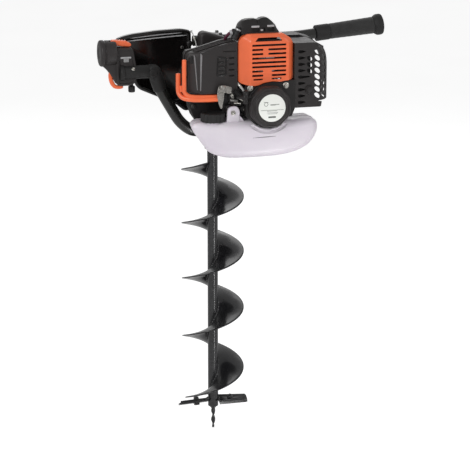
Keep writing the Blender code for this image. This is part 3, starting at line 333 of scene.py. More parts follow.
class Nodes:
    """Short way to wire a node material."""

    def __init__(self, name):
        self.material = bpy.data.materials.new(name)
        self.material.use_nodes = True
        self.tree = self.material.node_tree
        self.shader = self.tree.nodes["Principled BSDF"]
        self.place = self.add("ShaderNodeTexCoord").outputs["Object"]

    def feed(self, socket, value):
        """Link an output into a socket, or set the socket to a number, a vector or a colour."""
        if isinstance(value, bpy.types.NodeSocket):
            self.tree.links.new(value, socket)
        elif socket.type == "RGBA":
            socket.default_value = (*value, 1)
        else:
            socket.default_value = value

    def add(self, kind, inputs=(), **settings):
        node = self.tree.nodes.new(kind)
        for key, value in settings.items():
            setattr(node, key, value)
        for key, value in dict(inputs).items():
            self.feed(node.inputs[key], value)
        return node

    def set(self, name, value):
        self.feed(self.shader.inputs[name], value)

    def colour(self, value):
        self.set("Base Color", value)

    def rough(self, value):
        self.set("Roughness", value)

    def noise(self, scale, detail=4.0, roughness=0.55, stretch=(1, 1, 1), distortion=0.0):
        """Noise with about that many blobs a metre."""
        mapping = self.add("ShaderNodeMapping", {"Vector": self.place, "Scale": stretch})
        node = self.add("ShaderNodeTexNoise", {"Vector": mapping.outputs["Vector"], "Scale": scale,
                                               "Detail": detail, "Roughness": roughness,
                                               "Distortion": distortion})
        return node.outputs["Fac"]

    def cells(self, scale):
        return self.add("ShaderNodeTexVoronoi", {"Vector": self.place, "Scale": scale}).outputs["Distance"]

    def span(self, value, low, high, to_low=0.0, to_high=1.0):
        """The value's range from low to high, stretched onto another range."""
        node = self.add("ShaderNodeMapRange", {"Value": value, "From Min": low, "From Max": high,
                                               "To Min": to_low, "To Max": to_high})
        return node.outputs["Result"]

    def maths(self, operation, a, b):
        return self.add("ShaderNodeMath", {0: a, 1: b}, operation=operation).outputs["Value"]

    def mix(self, share, first, second):
        share_in, first_in, second_in, colour_out = 0, 6, 7, 2
        node = self.add("ShaderNodeMix", {share_in: share, first_in: first, second_in: second},
                        data_type="RGBA")
        return node.outputs[colour_out]

    def edges(self, low=0.52, high=0.62):
        """1 on sharp outer edges, broken up by a noise."""
        sharp = self.span(self.add("ShaderNodeNewGeometry").outputs["Pointiness"], low, high)
        return self.maths("MULTIPLY", sharp, self.span(self.noise(220, 6), 0.42, 0.62))

    def bump(self, height, distance, strength=1.0):
        """Add a height, with a depth in millimetres, on top of earlier bumps."""
        node = self.add("ShaderNodeBump", {"Height": height, "Distance": distance / 1000,
                                           "Strength": strength})
        normal = self.shader.inputs["Normal"]
        if normal.links:
            self.feed(node.inputs["Normal"], normal.links[0].from_socket)
        self.feed(normal, node.outputs["Normal"])


def shade_of(colour, factor):
    return tuple(min(1.0, channel * factor) for channel in colour)


def plastic(name, colour, rough=(0.35, 0.5), grain=0.05, grain_scale=1800, worn=1.6, coat=0.0, shine=0.5):
    """Moulded plastic: fine grain, faint clouding, paler rubbed edges."""
    nodes = Nodes(name)
    cloud = nodes.noise(14, 3)
    base = nodes.mix(nodes.span(cloud, 0.3, 0.7), shade_of(colour, 0.9), shade_of(colour, 1.1))
    base = nodes.mix(nodes.maths("MULTIPLY", nodes.edges(), 0.5), base, shade_of(colour, worn))
    nodes.colour(base)
    nodes.rough(nodes.span(nodes.noise(60, 5), 0.3, 0.7, *rough))
    nodes.bump(nodes.noise(grain_scale, 3, 0.6), grain)
    nodes.bump(nodes.noise(35, 2), 0.12, 0.35)
    nodes.set("Specular IOR Level", shine)
    nodes.set("Coat Weight", coat)
    nodes.set("Coat Roughness", 0.12)
    return nodes.material


def gloss_paint(name, colour, scratches=0.5):
    """Thick gloss paint: orange peel, hairline scratches, bare metal at rubbed edges."""
    nodes = Nodes(name)
    lines = nodes.noise(90, 8, 0.7, stretch=(1, 1, 14), distortion=1.2)
    scratch = nodes.maths("MULTIPLY", nodes.span(lines, 0.62, 0.70), scratches)
    base = nodes.mix(nodes.span(nodes.noise(30, 4), 0.3, 0.7), shade_of(colour, 0.75), shade_of(colour, 1.35))
    base = nodes.mix(nodes.maths("MULTIPLY", scratch, 0.3), base, (0.16, 0.16, 0.17))
    nodes.colour(nodes.mix(nodes.maths("MULTIPLY", nodes.edges(0.55, 0.66), 0.45), base, (0.25, 0.25, 0.26)))
    nodes.rough(nodes.maths("ADD", nodes.span(nodes.noise(45, 5), 0.3, 0.75, 0.16, 0.3),
                            nodes.maths("MULTIPLY", scratch, 0.25)))
    nodes.bump(nodes.noise(420, 2), 0.06, 0.5)
    nodes.bump(scratch, 0.03, 0.4)
    nodes.set("Coat Weight", 0.2)
    nodes.set("Coat Roughness", 0.08)
    return nodes.material


def metal(name, colour, rough=(0.25, 0.45), grain=0.04, grain_scale=900, streak=(1, 1, 1)):
    """Bare or plated metal with a fine tooth, tarnish and streaks."""
    nodes = Nodes(name)
    tarnish = nodes.span(nodes.noise(55, 6, 0.65), 0.35, 0.7)
    nodes.colour(nodes.mix(tarnish, colour, shade_of(colour, 0.62)))
    nodes.rough(nodes.span(nodes.noise(160, 6, 0.6, stretch=streak), 0.3, 0.7, *rough))
    nodes.bump(nodes.noise(grain_scale, 4, 0.6, stretch=streak), grain)
    nodes.set("Metallic", 1.0)
    return nodes.material


def foam(name, colour):
    """Closed-cell foam: small open pores and a dry, soft face."""
    nodes = Nodes(name)
    pores = nodes.cells(1300)
    nodes.colour(nodes.mix(nodes.span(pores, 0.1, 0.5), shade_of(colour, 0.55), shade_of(colour, 1.3)))
    nodes.rough(nodes.span(nodes.noise(80), 0.3, 0.7, 0.72, 0.95))
    nodes.bump(pores, 0.16, 0.8)
    nodes.bump(nodes.noise(90, 3), 0.25, 0.4)
    nodes.set("Sheen Weight", 0.25)
    return nodes.material


def tank_plastic(name):
    """Milky blow-moulded tank: a little light passes through, faint flow marks."""
    nodes = Nodes(name)
    flow = nodes.noise(9, 4, stretch=(1, 1, 2.5), distortion=0.6)
    base = nodes.mix(nodes.span(flow, 0.3, 0.7), (0.74, 0.69, 0.76), (0.78, 0.73, 0.79))
    nodes.colour(nodes.mix(nodes.maths("MULTIPLY", nodes.edges(0.53, 0.6), 0.35), base, (0.92, 0.9, 0.93)))
    nodes.rough(nodes.span(nodes.noise(40, 5), 0.3, 0.7, 0.3, 0.42))
    nodes.bump(nodes.noise(700, 3), 0.04, 0.5)
    nodes.bump(nodes.noise(28, 2), 0.3, 0.3)
    nodes.set("Subsurface Weight", 0.25)
    nodes.set("Subsurface Radius", (0.006, 0.005, 0.006))
    nodes.set("Subsurface Scale", 1.0)
    return nodes.material


def printed_label(name):
    """Satin paper label with a faint fibre."""
    nodes = Nodes(name)
    nodes.colour(nodes.mix(nodes.span(nodes.noise(25, 4), 0.3, 0.7), (0.88, 0.9, 0.85), (0.93, 0.94, 0.9)))
    nodes.rough(nodes.span(nodes.noise(200, 4), 0.3, 0.7, 0.35, 0.5))
    nodes.bump(nodes.noise(2500, 3), 0.02, 0.5)
    return nodes.material


ORANGE = plastic("orange_plastic", (0.93, 0.165, 0.055), (0.3, 0.42), 0.03, 1600, 1.25, 0.15)
GRAINED = plastic("grained_black", (0.024, 0.0205, 0.0205), (0.4, 0.55), 0.09, 1500, 2.2, 0.0, 0.42)
DARK = plastic("dark_plastic", (0.011, 0.0095, 0.0095), (0.36, 0.52), 0.06, 1700, 2.4, 0.0, 0.4)
PIANO = plastic("gloss_black", (0.005, 0.0042, 0.0042), (0.1, 0.2), 0.012, 900, 3.0, 0.35, 0.4)
PAINT = gloss_paint("bit_paint", (0.008, 0.008, 0.009))
TUBE_PAINT = gloss_paint("tube_paint", (0.011, 0.011, 0.0095), 0.35)
RUBBER = plastic("rubber", (0.012, 0.0115, 0.0115), (0.5, 0.7), 0.05, 2400, 1.8, 0.0, 0.42)
ZINC = metal("zinc_plate", (0.78, 0.76, 0.7), (0.2, 0.38))
STEEL = metal("machined_steel", (0.56, 0.55, 0.53), (0.22, 0.4), 0.03, 700, (1, 1, 12))
CAST = metal("cast_alloy", (0.42, 0.42, 0.42), (0.45, 0.65), 0.22, 420)
SOOTY = metal("muffler_steel", (0.3, 0.27, 0.24), (0.45, 0.7), 0.1, 500)
FOAM = foam("grip_foam", (0.017, 0.0165, 0.0165))
FILTER = foam("filter_foam", (0.05, 0.05, 0.045))
TANK = tank_plastic("tank_plastic")
LABEL = printed_label("label_paper")
INK = plastic("label_ink", (0.07, 0.085, 0.07), (0.4, 0.5), 0.01)
PALE = plastic("pale_plastic", (0.62, 0.62, 0.6), (0.3, 0.45), 0.03)
# Pale grey gloss: real trim on the clips, bars and switch plate, and a painted highlight on the side panel's
# beads.
TRIM_AND_HIGHLIGHT = plastic("trim_and_painted_highlight", (0.42, 0.42, 0.43), (0.12, 0.22), 0.01, 900, 1.3, 0.5)
LEAD = plastic("ignition_lead", (0.09, 0.012, 0.035), (0.35, 0.5), 0.03)
# Glossy mid grey used only for painted highlight lines where the air box's bevelled edges catch the light.
EDGE_HIGHLIGHT_PAINT = plastic("painted_edge_highlight", (0.2, 0.195, 0.2), (0.15, 0.3), 0.02, 900, 1.5, 0.4)
DARK_STEEL = metal("blackened_steel", (0.1, 0.098, 0.095), (0.35, 0.55), 0.06, 700)
DARK_CAST = metal("painted_casting", (0.07, 0.068, 0.068), (0.5, 0.7), 0.2, 420)
GREY = plastic("switch_grey", (0.3, 0.3, 0.3), (0.35, 0.5), 0.04)
PLATED = metal("speckled_zinc", (0.46, 0.44, 0.41), (0.18, 0.55), 0.4, 240)


# ---------------------------------------------------------------- front of the engine

def shroud_face(x, z):
    """How far forward (y) the orange cover reaches at a point given from the crank axis."""
    front = node_box("front_shroud")[0].y
    flanks = (front, front + 1.06 * (-42 - x), front + 1.06 * (x - 48), front + 1.15 * (z - 156),
              front + 0.75 * (-x - 42 + (z - 147)) * 0.9, front + 0.75 * (x - 44 + (z - 148)) * 0.9)
    return soft_high(flanks, 0.7)


def build_front_shroud():
    """Faceted cover: every flank leans back from the flat front, and the rim turns in behind."""
    low, high = node_box("front_shroud")
    front, back = low.y, high.y - 2
    rim = [(-65, 57), (-61, 51), (-50, 47.5), (-30, 46), (-21, 48), (-10, 52.5), (10, 55), (29, 53),
           (38, 55), (63, 57), (63, 136), (55, 151), (36, 163), (-46, 163), (-59, 154), (-65, 141)]
    outline = rounded(rim, 3)
    slot_pitch, slot_height = 9.85, 4.4
    bridges = {6: (-12, 0), 5: (-12, 0), 1: (-12, 8), 0: (-12, 8)}     # bars that split a row's slot
    holes = []
    for row in range(8):
        z = 67 + slot_pitch * row
        runs = [(-38, 42)]
        if row in bridges:
            runs = [(-38, bridges[row][0]), (bridges[row][1], 42)]
        holes += [rectangle(start, end, z, z + slot_height, 1.8) for start, end in runs]
    holes += [rectangle(-35, -13, 58.5, 62, 1.4), rectangle(8, 31, 59.5, 63, 1.4)]
    holes.append(rounded([(-31, 147), (33, 147), (26, 155.5), (-24, 155.5)], 1.6, 3))
    skin = plate(outline, holes, 2.6, 0.7)
    sliced(skin, 0, [-60, -55, -50, -46, -44, -43, -42, -41, -40, 44, 46, 47, 48, 49, 50, 53, 57])
    sliced(skin, 2, [60, 65, 140, 146, 150, 154, 155, 156, 157, 158, 160])
    bent(skin, lambda p: (CRANK.x + p.x, shroud_face(p.x, p.z) + p.y, CRANK.z + p.z))
    inner = [tuple(Vector(p) * 0.962 + Vector((-0.04, 4))) for p in outline]

    def rear(x, z):
        """How far back the rim reaches: less under the bore, where the piston passes."""
        return back - 8 if abs(x) < 34 and z < 62 else back

    def wall_ring(points, lip=None):
        return [(CRANK.x + x, rear(x, z) if lip is None else shroud_face(x, z) + lip, CRANK.z + z)
                for x, z in points]

    wall = loft([wall_ring(outline, 1.2), wall_ring(outline), wall_ring(inner), wall_ring(inner, 3)],
                loop=True)
    piece("orange_cover", joined(skin, wall), ORANGE, stands_for="front_shroud")
    ribs = [slab(CRANK, (x - 1.2, x + 1.2), (60, 146), front + 5, 5, 0.4) for x in (-30, -5, 20)]
    piece("cover_inner_ribs", joined(*ribs), DARK)
    baffle = plate(rounded([(-46, 59), (50, 59), (50, 136), (28, 150), (-36, 150), (-46, 136)], 4), depth=2)
    placed(baffle, (CRANK.x, front + 11, CRANK.z))
    piece("cover_baffle", baffle, DARK)


def octagon(radius):
    """Octagon with soft corners, standing on a flat side."""
    return rounded(disc(radius, segments=8, phase=math.tau / 16), 10, 5)


def build_recoil():
    """Starter cover: an octagon with stepped rims, arched vents, and a plain printed disc."""
    low, high = node_box("recoil_cover")
    radius = 50.5
    steps = ((0, high.y), (0, -222), (-0.6, -223.2), (-1.8, -223.8), (-2.2, -227), (-3.4, -228.6),
             (-7.5, -229.6), (-8.4, -231.6), (-9.6, low.y + 0.3), (-13, low.y), (-15.5, low.y + 0.2),
             (-16.6, low.y + 1.4), (-17.6, low.y + 1.5))
    rings = []
    for margin, y in steps:
        rings.append([(x, y, z) for x, z in offset(CRANK, octagon(radius + margin))])
    cover = loft(rings)
    arcs = []
    for middle, spread in ((math.pi, 0.62), (0.0, 0.5), (1.5 * math.pi, 0.42)):
        for reach in (37.5, 41.2):
            path = [(CRANK.x + reach * math.cos(a), low.y + (1.2 if reach < 40 else 2.9),
                     CRANK.z + reach * math.sin(a))
                    for a in steps_between(middle - spread, middle + spread, 0.08)]
            arcs.append(tube(path, 1.25, 10))
    piece("starter_cover", joined(cover, *arcs), GRAINED, stands_for="recoil_cover")
    face = low.y + 0.25
    sticker = turned([(31.6, 0), (31.6, 0.35), (31.2, 0.5), (0.5, 0.5)], (CRANK.x, face + 0.6, CRANK.z),
                     (0, -1, 0), 64)
    piece("starter_label", sticker, LABEL)
    marks = []
    rows = ((8, -4, 17, 0.55), (6.4, -4, 9, 0.4), (-4.6, -27, 27, 0.35), (-6.6, -12, 12, 0.4),
            (-10.6, -12, 14, 0.35), (-13.2, -10, 12, 0.35), (13.5, -19, -9, 0.5))
    for z, start, end, half in rows:
        marks.append(plate(rectangle(start, end, z - half, z + half), depth=0.3, edge=0.05, steps=1))
    marks.append(plate(rectangle(-9, 9, -22.5, -19, 1.6), depth=0.3, edge=0.05, steps=1))
    ring = [(-14 + x, 9 + z) for x, z in disc(4.6, segments=24)]
    marks.append(plate(ring, [[(-14 + x, 9 + z) for x, z in disc(3.7, segments=24)]], 0.3, 0.05, 1))
    ink = placed(joined(*marks), (CRANK.x, face - 0.05, CRANK.z))
    piece("starter_label_print", ink, INK)


def hex_outline(across):
    return disc(across / math.sqrt(3), segments=6, phase=math.radians(30))


def bolt_head(across, height, flange_r, place, axis):
    """Flanged hex head with a chamfered top, its seat at place, pointing along axis."""
    flange = turned([(flange_r, 0), (flange_r, 0.7), (flange_r - 1.2, 1.5), (across * 0.5, 1.8)], segments=32)
    corner = across / math.sqrt(3)
    head = loft([[(x * f, y * f, h) for x, y in hex_outline(across)]
                 for f, h in ((1, 1.2), (1, height - 0.7), (0.9, height))])
    dimple = turned([(corner * 0.62, height), (corner * 0.5, height + 0.35), (0.3, height + 0.35)],
                    segments=24)
    return aimed(joined(flange, head, dimple), place, axis)


def screw_head(radius, height, place, axis):
    """Pan head with a cross recess."""
    dome = turned([(radius, 0), (radius, height * 0.45), (radius * 0.86, height * 0.85),
                   (radius * 0.5, height), (0.2, height)], segments=24)
    bars = [plate(rectangle(-radius * 0.55, radius * 0.55, -radius * 0.1, radius * 0.1), depth=0.4, edge=0.05,
                  steps=1) for _ in range(2)]
    cross = []
    for turn, bar in zip((0, math.pi / 2), bars):
        moved(bar, Matrix.Rotation(turn, 4, "Z") @ Matrix.Translation((0, 0, height))
              @ Matrix.Rotation(-math.pi / 2, 4, "X"))
        cross.append(bar)
    return aimed(joined(dome, *cross), place, axis)


def build_shroud_bolts():
    """Bright flanged bolts at the cover's lower corners."""
    for side in ("left", "right"):
        low, high = node_box(f"shroud_bolt_{side}")
        middle = (low + high) / 2
        seat = low.y + 6.5
        head = bolt_head(9.6, 5.6, 6.9, (middle.x, seat, middle.z), (0, -1, 0))
        stem = turned([(3, 0), (3, 22)], (middle.x, seat - 0.5, middle.z), (0, 1, 0), 24)
        piece(f"cover_bolt_{side}", joined(head, stem), ZINC, stands_for=f"shroud_bolt_{side}")


def build_fan_housing():
    """Dark scroll round the flywheel fan, behind the starter cover and between its neighbours."""
    front = node_box("flywheel_fan")[0].y
    arc = [(52 * math.cos(a), 52 * math.sin(a))
           for a in steps_between(math.radians(219), math.radians(321), math.radians(6))]
    corners = [(-50, 46), (-52, 40), (-52, -24), *arc, (57, -27), (64.5, -9), (64.5, 56), (46, 55),
               (38, 53.4), (29, 51.4), (10, 53.2), (-10, 50.8), (-21, 46.6), (-30, 44.6)]
    scroll = plate(corners, [disc(46.5, segments=72)], 16, 1.2, 3)
    placed(scroll, (CRANK.x, front + 0.2, CRANK.z))
    collar = turned([(46.5, -0.5), (50.5, -0.5), (50.5, 3.6), (49.6, 4.4), (46.5, 4.4)],
                    (CRANK.x, front + 0.2, CRANK.z), (0, -1, 0), 72, loop=True)
    piece("fan_housing", joined(scroll, collar), DARK)


# ---------------------------------------------------------------- muffler guard

def build_muffler_guard():
    """One moulded sheet: louvred in front, an open net round the muffler, and a bulging roof."""
    low, high = node_box("muffler_guard")
    top, bottom = high.z, low.z
    flat_end, reach, depth_r, fall = low.x + 46, high.x - low.x - 46, 66, 92
    path = [Vector((x, low.y)) for x in steps_between(low.x, flat_end, 12)]
    for a in steps_between(0, math.pi / 2, math.pi / 48)[1:]:
        path.append(Vector((flat_end + reach * math.sin(a), low.y + depth_r * (1 - math.cos(a)))))
    path.append(Vector((high.x, high.y)))
    lengths = [0.0]
    for a, b in zip(path, path[1:]):
        lengths.append(lengths[-1] + (b - a).length)
    total = lengths[-1]

    def on_plan(u):
        """Place and inward normal of the sheet's plan at a length along it."""
        u = min(max(u, 0.0), total)
        i = max(k for k in range(len(path) - 1) if lengths[k] <= u or k == 0)
        share = (u - lengths[i]) / (lengths[i + 1] - lengths[i])
        run = (path[i + 1] - path[i]).normalized()
        before = (path[i] - path[i - 1]).normalized() if i else run
        after = (path[i + 2] - path[i + 1]).normalized() if i < len(path) - 2 else run
        along = (before + run).lerp(after + run, share).normalized()
        return path[i].lerp(path[i + 1], share), Vector((-along.y, along.x))

    def roof_height(x):
        share = min(1.0, max(0.0, (x - flat_end) / reach))
        return top - fall * (1 - math.sqrt(1 - share * share))

    def folded(point):
        here, inward = on_plan(point.x)
        here = here + inward * point.y
        return (here.x, here.y, point.z)

    crown = [(u, roof_height(on_plan(u)[0].x)) for u in steps_between(total, 46, 5)]
    rim = [(0, bottom), (58, bottom), (60, bottom + 14), (total, bottom + 12), *crown, (0, top)]
    holes = []
    for row in range(9):
        z = bottom + 10 + row * 14.6
        length = 28 if row == 4 else 17
        holes.append(rounded([(9, z - 0.6), (14, z - 1.6), (9 + length, z + 1.6), (9 + length, z + 3.4),
                              (14, z + 6), (9, z + 5)], 2, 4))
    pitch_u, pitch_z, tilt = 20.5, 14.4, math.radians(-34)
    half_lengths = (7.2, 9.2, 10.6, 10.6, 10.6, 10.6)
    for column, half_length in enumerate(half_lengths):
        rows = range(4, 7) if column == 0 else range(9)
        for row in rows:
            u = 35.5 + column * pitch_u
            z = bottom + 26.2 + row * pitch_z
            if z + 7.5 > roof_height(on_plan(u)[0].x) - 4 or u + 10 > total - 2:
                continue
            hole = []
            for x, y in disc(1, segments=28):
                along, across = half_length * x, 4.7 * y
                hole.append((u + along * math.cos(tilt) - across * math.sin(tilt),
                             z + along * math.sin(tilt) + across * math.cos(tilt)))
            holes.append(hole)
    skin = plate(rim, holes, 2.8, 0.7)
    sliced(skin, 0, lengths[1:-1])
    bent(skin, folded)
    rings = []
    for a in [-1, *steps_between(0, math.pi / 2, math.pi / 40)]:
        x = low.x if a == -1 else flat_end + reach * math.sin(a)
        z = roof_height(x)
        out = Vector((0, 1)) if a == -1 else Vector((math.sin(a) / reach, math.cos(a) / fall)).normalized()
        front = low.y if a == -1 else low.y + depth_r * (1 - math.cos(a))
        inner = (x - out.x * 2.8, z - out.y * 2.8)
        rings.append([(x, front + 0.9, z), (x, high.y, z), (inner[0], high.y, inner[1]),
                      (inner[0], front + 0.9, inner[1])])
    roof = loft(rings)
    lip_rim = [(low.x + 2, bottom), (low.x + 66, bottom), (low.x + 70, bottom + 12), (low.x + 2, bottom + 12)]
    lip = plate(rounded(lip_rim, 3), depth=2.4, edge=0.6)
    bent(lip, lambda p: (p.x, low.y + 7 + p.y + 0.4 * (p.z - bottom), p.z - 1.5))
    boss = turned([(10.5, 0), (10.5, 2), (9.3, 4.4), (8.6, 4.6), (7.8, 3.9), (7.2, 3.9), (6.6, 5.4), (3, 6),
                   (0.3, 6)], (low.x + 36, low.y + 1, bottom + 41), (0, -1, 0), 36)
    piece("muffler_net", joined(skin, roof, lip, boss), GRAINED, stands_for="muffler_guard")
    # Dark sheet just behind the louvres: painted shade that makes their insides dark.
    louvre_shade = slab(low, (4, 41), (6, top - bottom - 8), low.y + 9, 1.6, 0.4, 4)
    piece("louvre_shade_sheet", louvre_shade, DARK)


# ---------------------------------------------------------------- air filter

def airbox_ring(y, margin=0.0, flank=0.0):
    """Outline of the air box at a depth; flank pulls the left side in."""
    low, high = node_box("filter_cover")
    points = [(low.x + flank, low.z), (high.x, low.z), (high.x, high.z), (high.x - 31, high.z - 6),
              (low.x + 24, high.z - 22), (low.x + 5 + flank * 0.8, high.z - 26), (low.x + flank, high.z - 33)]
    middle = Vector(((low.x + flank + high.x) / 2, (low.z + high.z) / 2))
    ring = []
    for x, z in rounded(points, 4.5, 4):
        step = Vector((x, z)) - middle
        step = step * (1 - margin / step.length)
        ring.append((middle.x + step.x, y, middle.y + step.y))
    return ring


def build_air_filter():
    """Cover with a framed front, a ribbed roof and left end, side vents, a plain raised badge and painted
    highlight lines along its edges.
    """
    low, high = node_box("filter_cover")
    front = low.y
    rings = [airbox_ring(high.y), airbox_ring(front + 44), airbox_ring(front + 23, 0, 2),
             airbox_ring(front + 9, 0, 16), airbox_ring(front + 3, 0.6, 23.5),
             airbox_ring(front + 1, 2, 25.6), airbox_ring(front + 0.8, 4, 26.4)]
    shell = loft(rings)
    frame_path = airbox_ring(front + 1.6, 1.6, 24)
    border = tube([*frame_path, frame_path[0]], 1.9, 12)
    mouth = airbox_ring(high.y - 1.5, -1.1)
    bead = tube([*mouth, mouth[0]], 2.0, 12)
    ribs = []
    for y in (front + 12, front + 21, front + 30):
        ribs.append(tube([(low.x + 16, y, high.z - 22.4), (low.x + 24, y, high.z - 20.4),
                          (high.x - 31, y, high.z - 4.6), (high.x - 6, y, high.z + 0.2)], 1.6, 12))
    ribs.append(tube([(low.x + 4, front + 22, low.z + 3), (low.x + 4, front + 22, high.z - 38),
                      (low.x + 9, front + 23, high.z - 27)], 2.6, 12))
    cover = piece("airbox_cover", joined(shell, border, bead, *ribs), GRAINED, stands_for="filter_cover")
    vents = []
    foot = Vector((high.x, 0, low.z))
    for z in (37.5, 51, 64, 78):
        vents.append(slab(foot, (-20, -7), (z, z + 4.2), front - 1.4, 7, 0.3, 1.6))
    vents.append(slab(foot, (-33, -3), (93.5, 96.5), front - 1.4, 5, 0.3, 1.4))
    cut_away(cover, joined(*vents))
    badge_rim = rounded([(-11, -23), (12, -21), (13, 20), (-9, 23)], 4)
    window = rounded([(-8.4, -19), (9.4, -17.6), (10.2, 16.5), (-6.6, 19)], 3)
    badge = plate(badge_rim, [window], 2.0, 0.6)
    bars = [plate(rectangle(-6, 7, z - 2.2, z + 2.2, 1.8), depth=1.6, edge=0.5) for z in (-11, -1, 9)]
    middle = Vector(((low.x + high.x) / 2 + 19, front - 0.6, low.z + 62))
    piece("airbox_badge", placed(joined(badge, *bars), middle), PIANO)
    clip = plate(rounded([(-4.5, -9), (4.5, -9), (4.5, 6), (0, 9), (-4.5, 6)], 2), depth=4, edge=0.8)
    placed(clip, (low.x + 10, front + 12, high.z - 40))
    piece("airbox_clip", clip, DARK)
    # Three thin grey tubes along the front-left and top edges of the air box: painted highlights, not parts
    # of the cover.
    edges = [tube([(low.x + 14.5, front + 10, high.z - 29), (low.x + 16, front + 9.2, high.z - 36),
                   (low.x + 21, front + 5.4, low.z + 9)], [0.8, 1.7, 1.1], 12),
             tube([(low.x + 26, front + 2.4, high.z - 23.5), (low.x + 29, front + 1.2, high.z - 29),
                   (low.x + 27.2, front + 1.2, low.z + 8)], [1.0, 2.7, 1.4], 12),
             tube([(low.x + 29, front + 1.0, high.z - 23), (high.x - 31, front + 1.4, high.z - 6.4),
                   (high.x - 2, front + 1.4, high.z - 1.4)], 1.1, 12)]
    piece("airbox_highlight_lines", joined(*edges), EDGE_HIGHLIGHT_PAINT)


def build_filter_guard():
    """Two parallel moulded ribs that wrap the left side and the bottom of the air box."""
    low, high = node_box("filter_guard")
    left = low.x + 4.5
    base = low.z + 4.5
    outer = [(left, -150, high.z - 36), (left, -150.5, base + 22), (left + 1.5, -153, base + 11),
             (left + 8, -161, base + 3), (left + 25, -173, base), (left + 58, -181, base - 0.5),
             (high.x - 1, -184, base)]
    inner = [(left + 11, -163, high.z - 3), (left + 10.5, -163, base + 26), (left + 11.5, -164, base + 15),
             (left + 19, -169, base + 8), (left + 33, -173.5, base + 5.5), (left + 60, -178, base + 5),
             (high.x - 3, -180, base + 4.5)]
    ribs = []
    for route, radius in ((outer, 5.6), (inner, 5.0)):
        path = smooth_path(route, 8)
        path = [path[0], path[0].lerp(path[1], 0.12), *path[1:]]
        taper = [radius * 0.72, radius * 0.95, *[radius] * (len(path) - 2)]
        ribs.append(tube(path, taper, 22))
    web = [Vector((left + 5, -156, base + 30)), Vector((left + 5.5, -158, base + 16))]
    ribs.append(tube(smooth_path([web[0], (web[0] + web[1]) / 2, web[1]], 4), 4.2, 16))
    piece("guard_ribs", joined(*ribs), ORANGE, stands_for="filter_guard")


# ---------------------------------------------------------------- tank

def tank_ring(margin, y):
    """Outline of the tank at a depth, pulled in by a margin; its left end leans outwards to the back."""
    low, high = node_box("fuel_tank")
    shape = [(16, 84), (5, 81), (0, 73), (5, 61), (14, 48), (27, 29), (41, 14), (68, 4), (106, 0), (186, 0),
             (230, 5), (260, 15), (280, 30), (292, 50), (294.5, 66), (291, 78), (280, 84)]
    smooth = smooth_path([Vector(p) for p in shape], 6)
    top = [Vector((280 - 264 * i / 24, 84)) for i in range(1, 24)]
    outline = [(low.x + p.x, low.z + p.y) for p in [*smooth, *top]]
    middle = Vector(((low.x + high.x) / 2, low.z + 46))
    half = Vector(((high.x - low.x) / 2, 44))
    ring = []
    for x, z in outline:
        lean = 0.11 * (y - low.y) if x < middle.x - 60 else 0.0
        share = (half.x - margin) / half.x, (half.y - margin) / half.y
        ring.append([middle.x + (x - middle.x) * share[0] + lean, y, middle.y + (z - middle.y) * share[1]])
    return ring


def build_tank():
    """Blow-moulded tank: soft edges, a slanted left face, a parting line and a saddle for the starter."""
    low, high = node_box("fuel_tank")
    depth = high.y - low.y
    rings = []
    nose = 20.0
    quarter = steps_between(0, math.pi / 2, math.pi / 16)
    for a in quarter:
        rings.append((nose * (1 - math.sin(a)), low.y + nose * (1 - math.cos(a))))
    rings += [(0, low.y + nose + 15), (0, low.y + depth / 2 - 1.2), (-0.9, low.y + depth / 2 - 0.7),
              (-0.9, low.y + depth / 2 + 0.7), (0, low.y + depth / 2 + 1.2), (0, high.y - nose - 8)]
    for a in reversed(quarter):
        rings.append((nose * (1 - math.sin(a)), high.y - nose * (1 - math.cos(a))))
    body = loft([tank_ring(margin, y) for margin, y in rings])
    facet_x = low.x + 74
    sliced(body, 0, steps_between(facet_x - 9, facet_x + 9, 2))
    for vert in body.verts:
        ahead = max(0.0, (low.y + 48 - vert.co.y) / 48)
        slant = 3.0 * math.log(1 + math.exp((facet_x - vert.co.x) / 3.0))
        vert.co.y += 0.36 * slant * ahead
    tank = piece("tank_shell", body, TANK, stands_for="fuel_tank", crease=60)
    saddle = turned([(53, 0), (53, depth + 20)], (CRANK.x, low.y - 10, CRANK.z), (0, 1, 0), 96)
    crescent = turned([(64, -8), (64, 2), (60, 6), (50, 6), (50, -8)], (CRANK.x, low.y - 2, CRANK.z - 1),
                      (0, 1, 0), 96, loop=True)
    cut_away(tank, saddle, crescent)
    soften(tank, 1.2, 3)
    rim = []
    for reach, y, thick in ((55.5, low.y + 3.4, 1.5), (60, low.y + 3.8, 0.9)):
        path = [(CRANK.x + reach * math.cos(a), y, CRANK.z + reach * math.sin(a))
                for a in steps_between(math.radians(234), math.radians(306), 0.05)]
        rim.append(tube(path, thick, 10))
    neck = node_box("fuel_cap")
    middle = (neck[0] + neck[1]) / 2
    rim.append(turned([(22, 0), (21, 2.5), (18.4, 3.5), (18, 16), (14, 16), (14, -4)],
                      (middle.x, middle.y, neck[0].z - 3), (0, 0, 1), 48))
    lug = plate(rounded([(-16, -6), (15, -6), (15, 26), (9, 35), (-4, 35.5), (-13, 30)], 7, 6),
                [disc(4.4, (-1, 21), 28)], 9, 1.8, 3)
    placed(lug, (CRANK.x - 79, low.y + 17, low.z + 84))
    gusset = plate(rounded([(-1, -8), (19, -8), (14, 3), (6, 12)], 3), depth=7, edge=1.6, steps=3)
    placed(gusset, (CRANK.x - 70, low.y + 19, low.z + 86))
    piece("tank_rims", joined(*rim, lug, gusset), TANK)
    washer = turned([(5.6, 0), (5.6, 1), (4.6, 1.3), (4.6, 0)], (CRANK.x - 80, low.y + 17, low.z + 105),
                    (0, -1, 0), 32)
    screw = screw_head(4.2, 2.6, (CRANK.x - 80, low.y + 19, low.z + 105), (0, -1, 0))
    piece("tank_screw", joined(washer, screw), ZINC)
    shelf = tube([(CRANK.x - 38, low.y + 0.2, CRANK.z - 72), (CRANK.x - 10, low.y - 0.1, CRANK.z - 71.4),
                  (CRANK.x + 17, low.y + 0.2, CRANK.z - 70.6)], [0.3, 0.7, 0.3], 8)
    piece("tank_shelf_line", shelf, RUBBER)


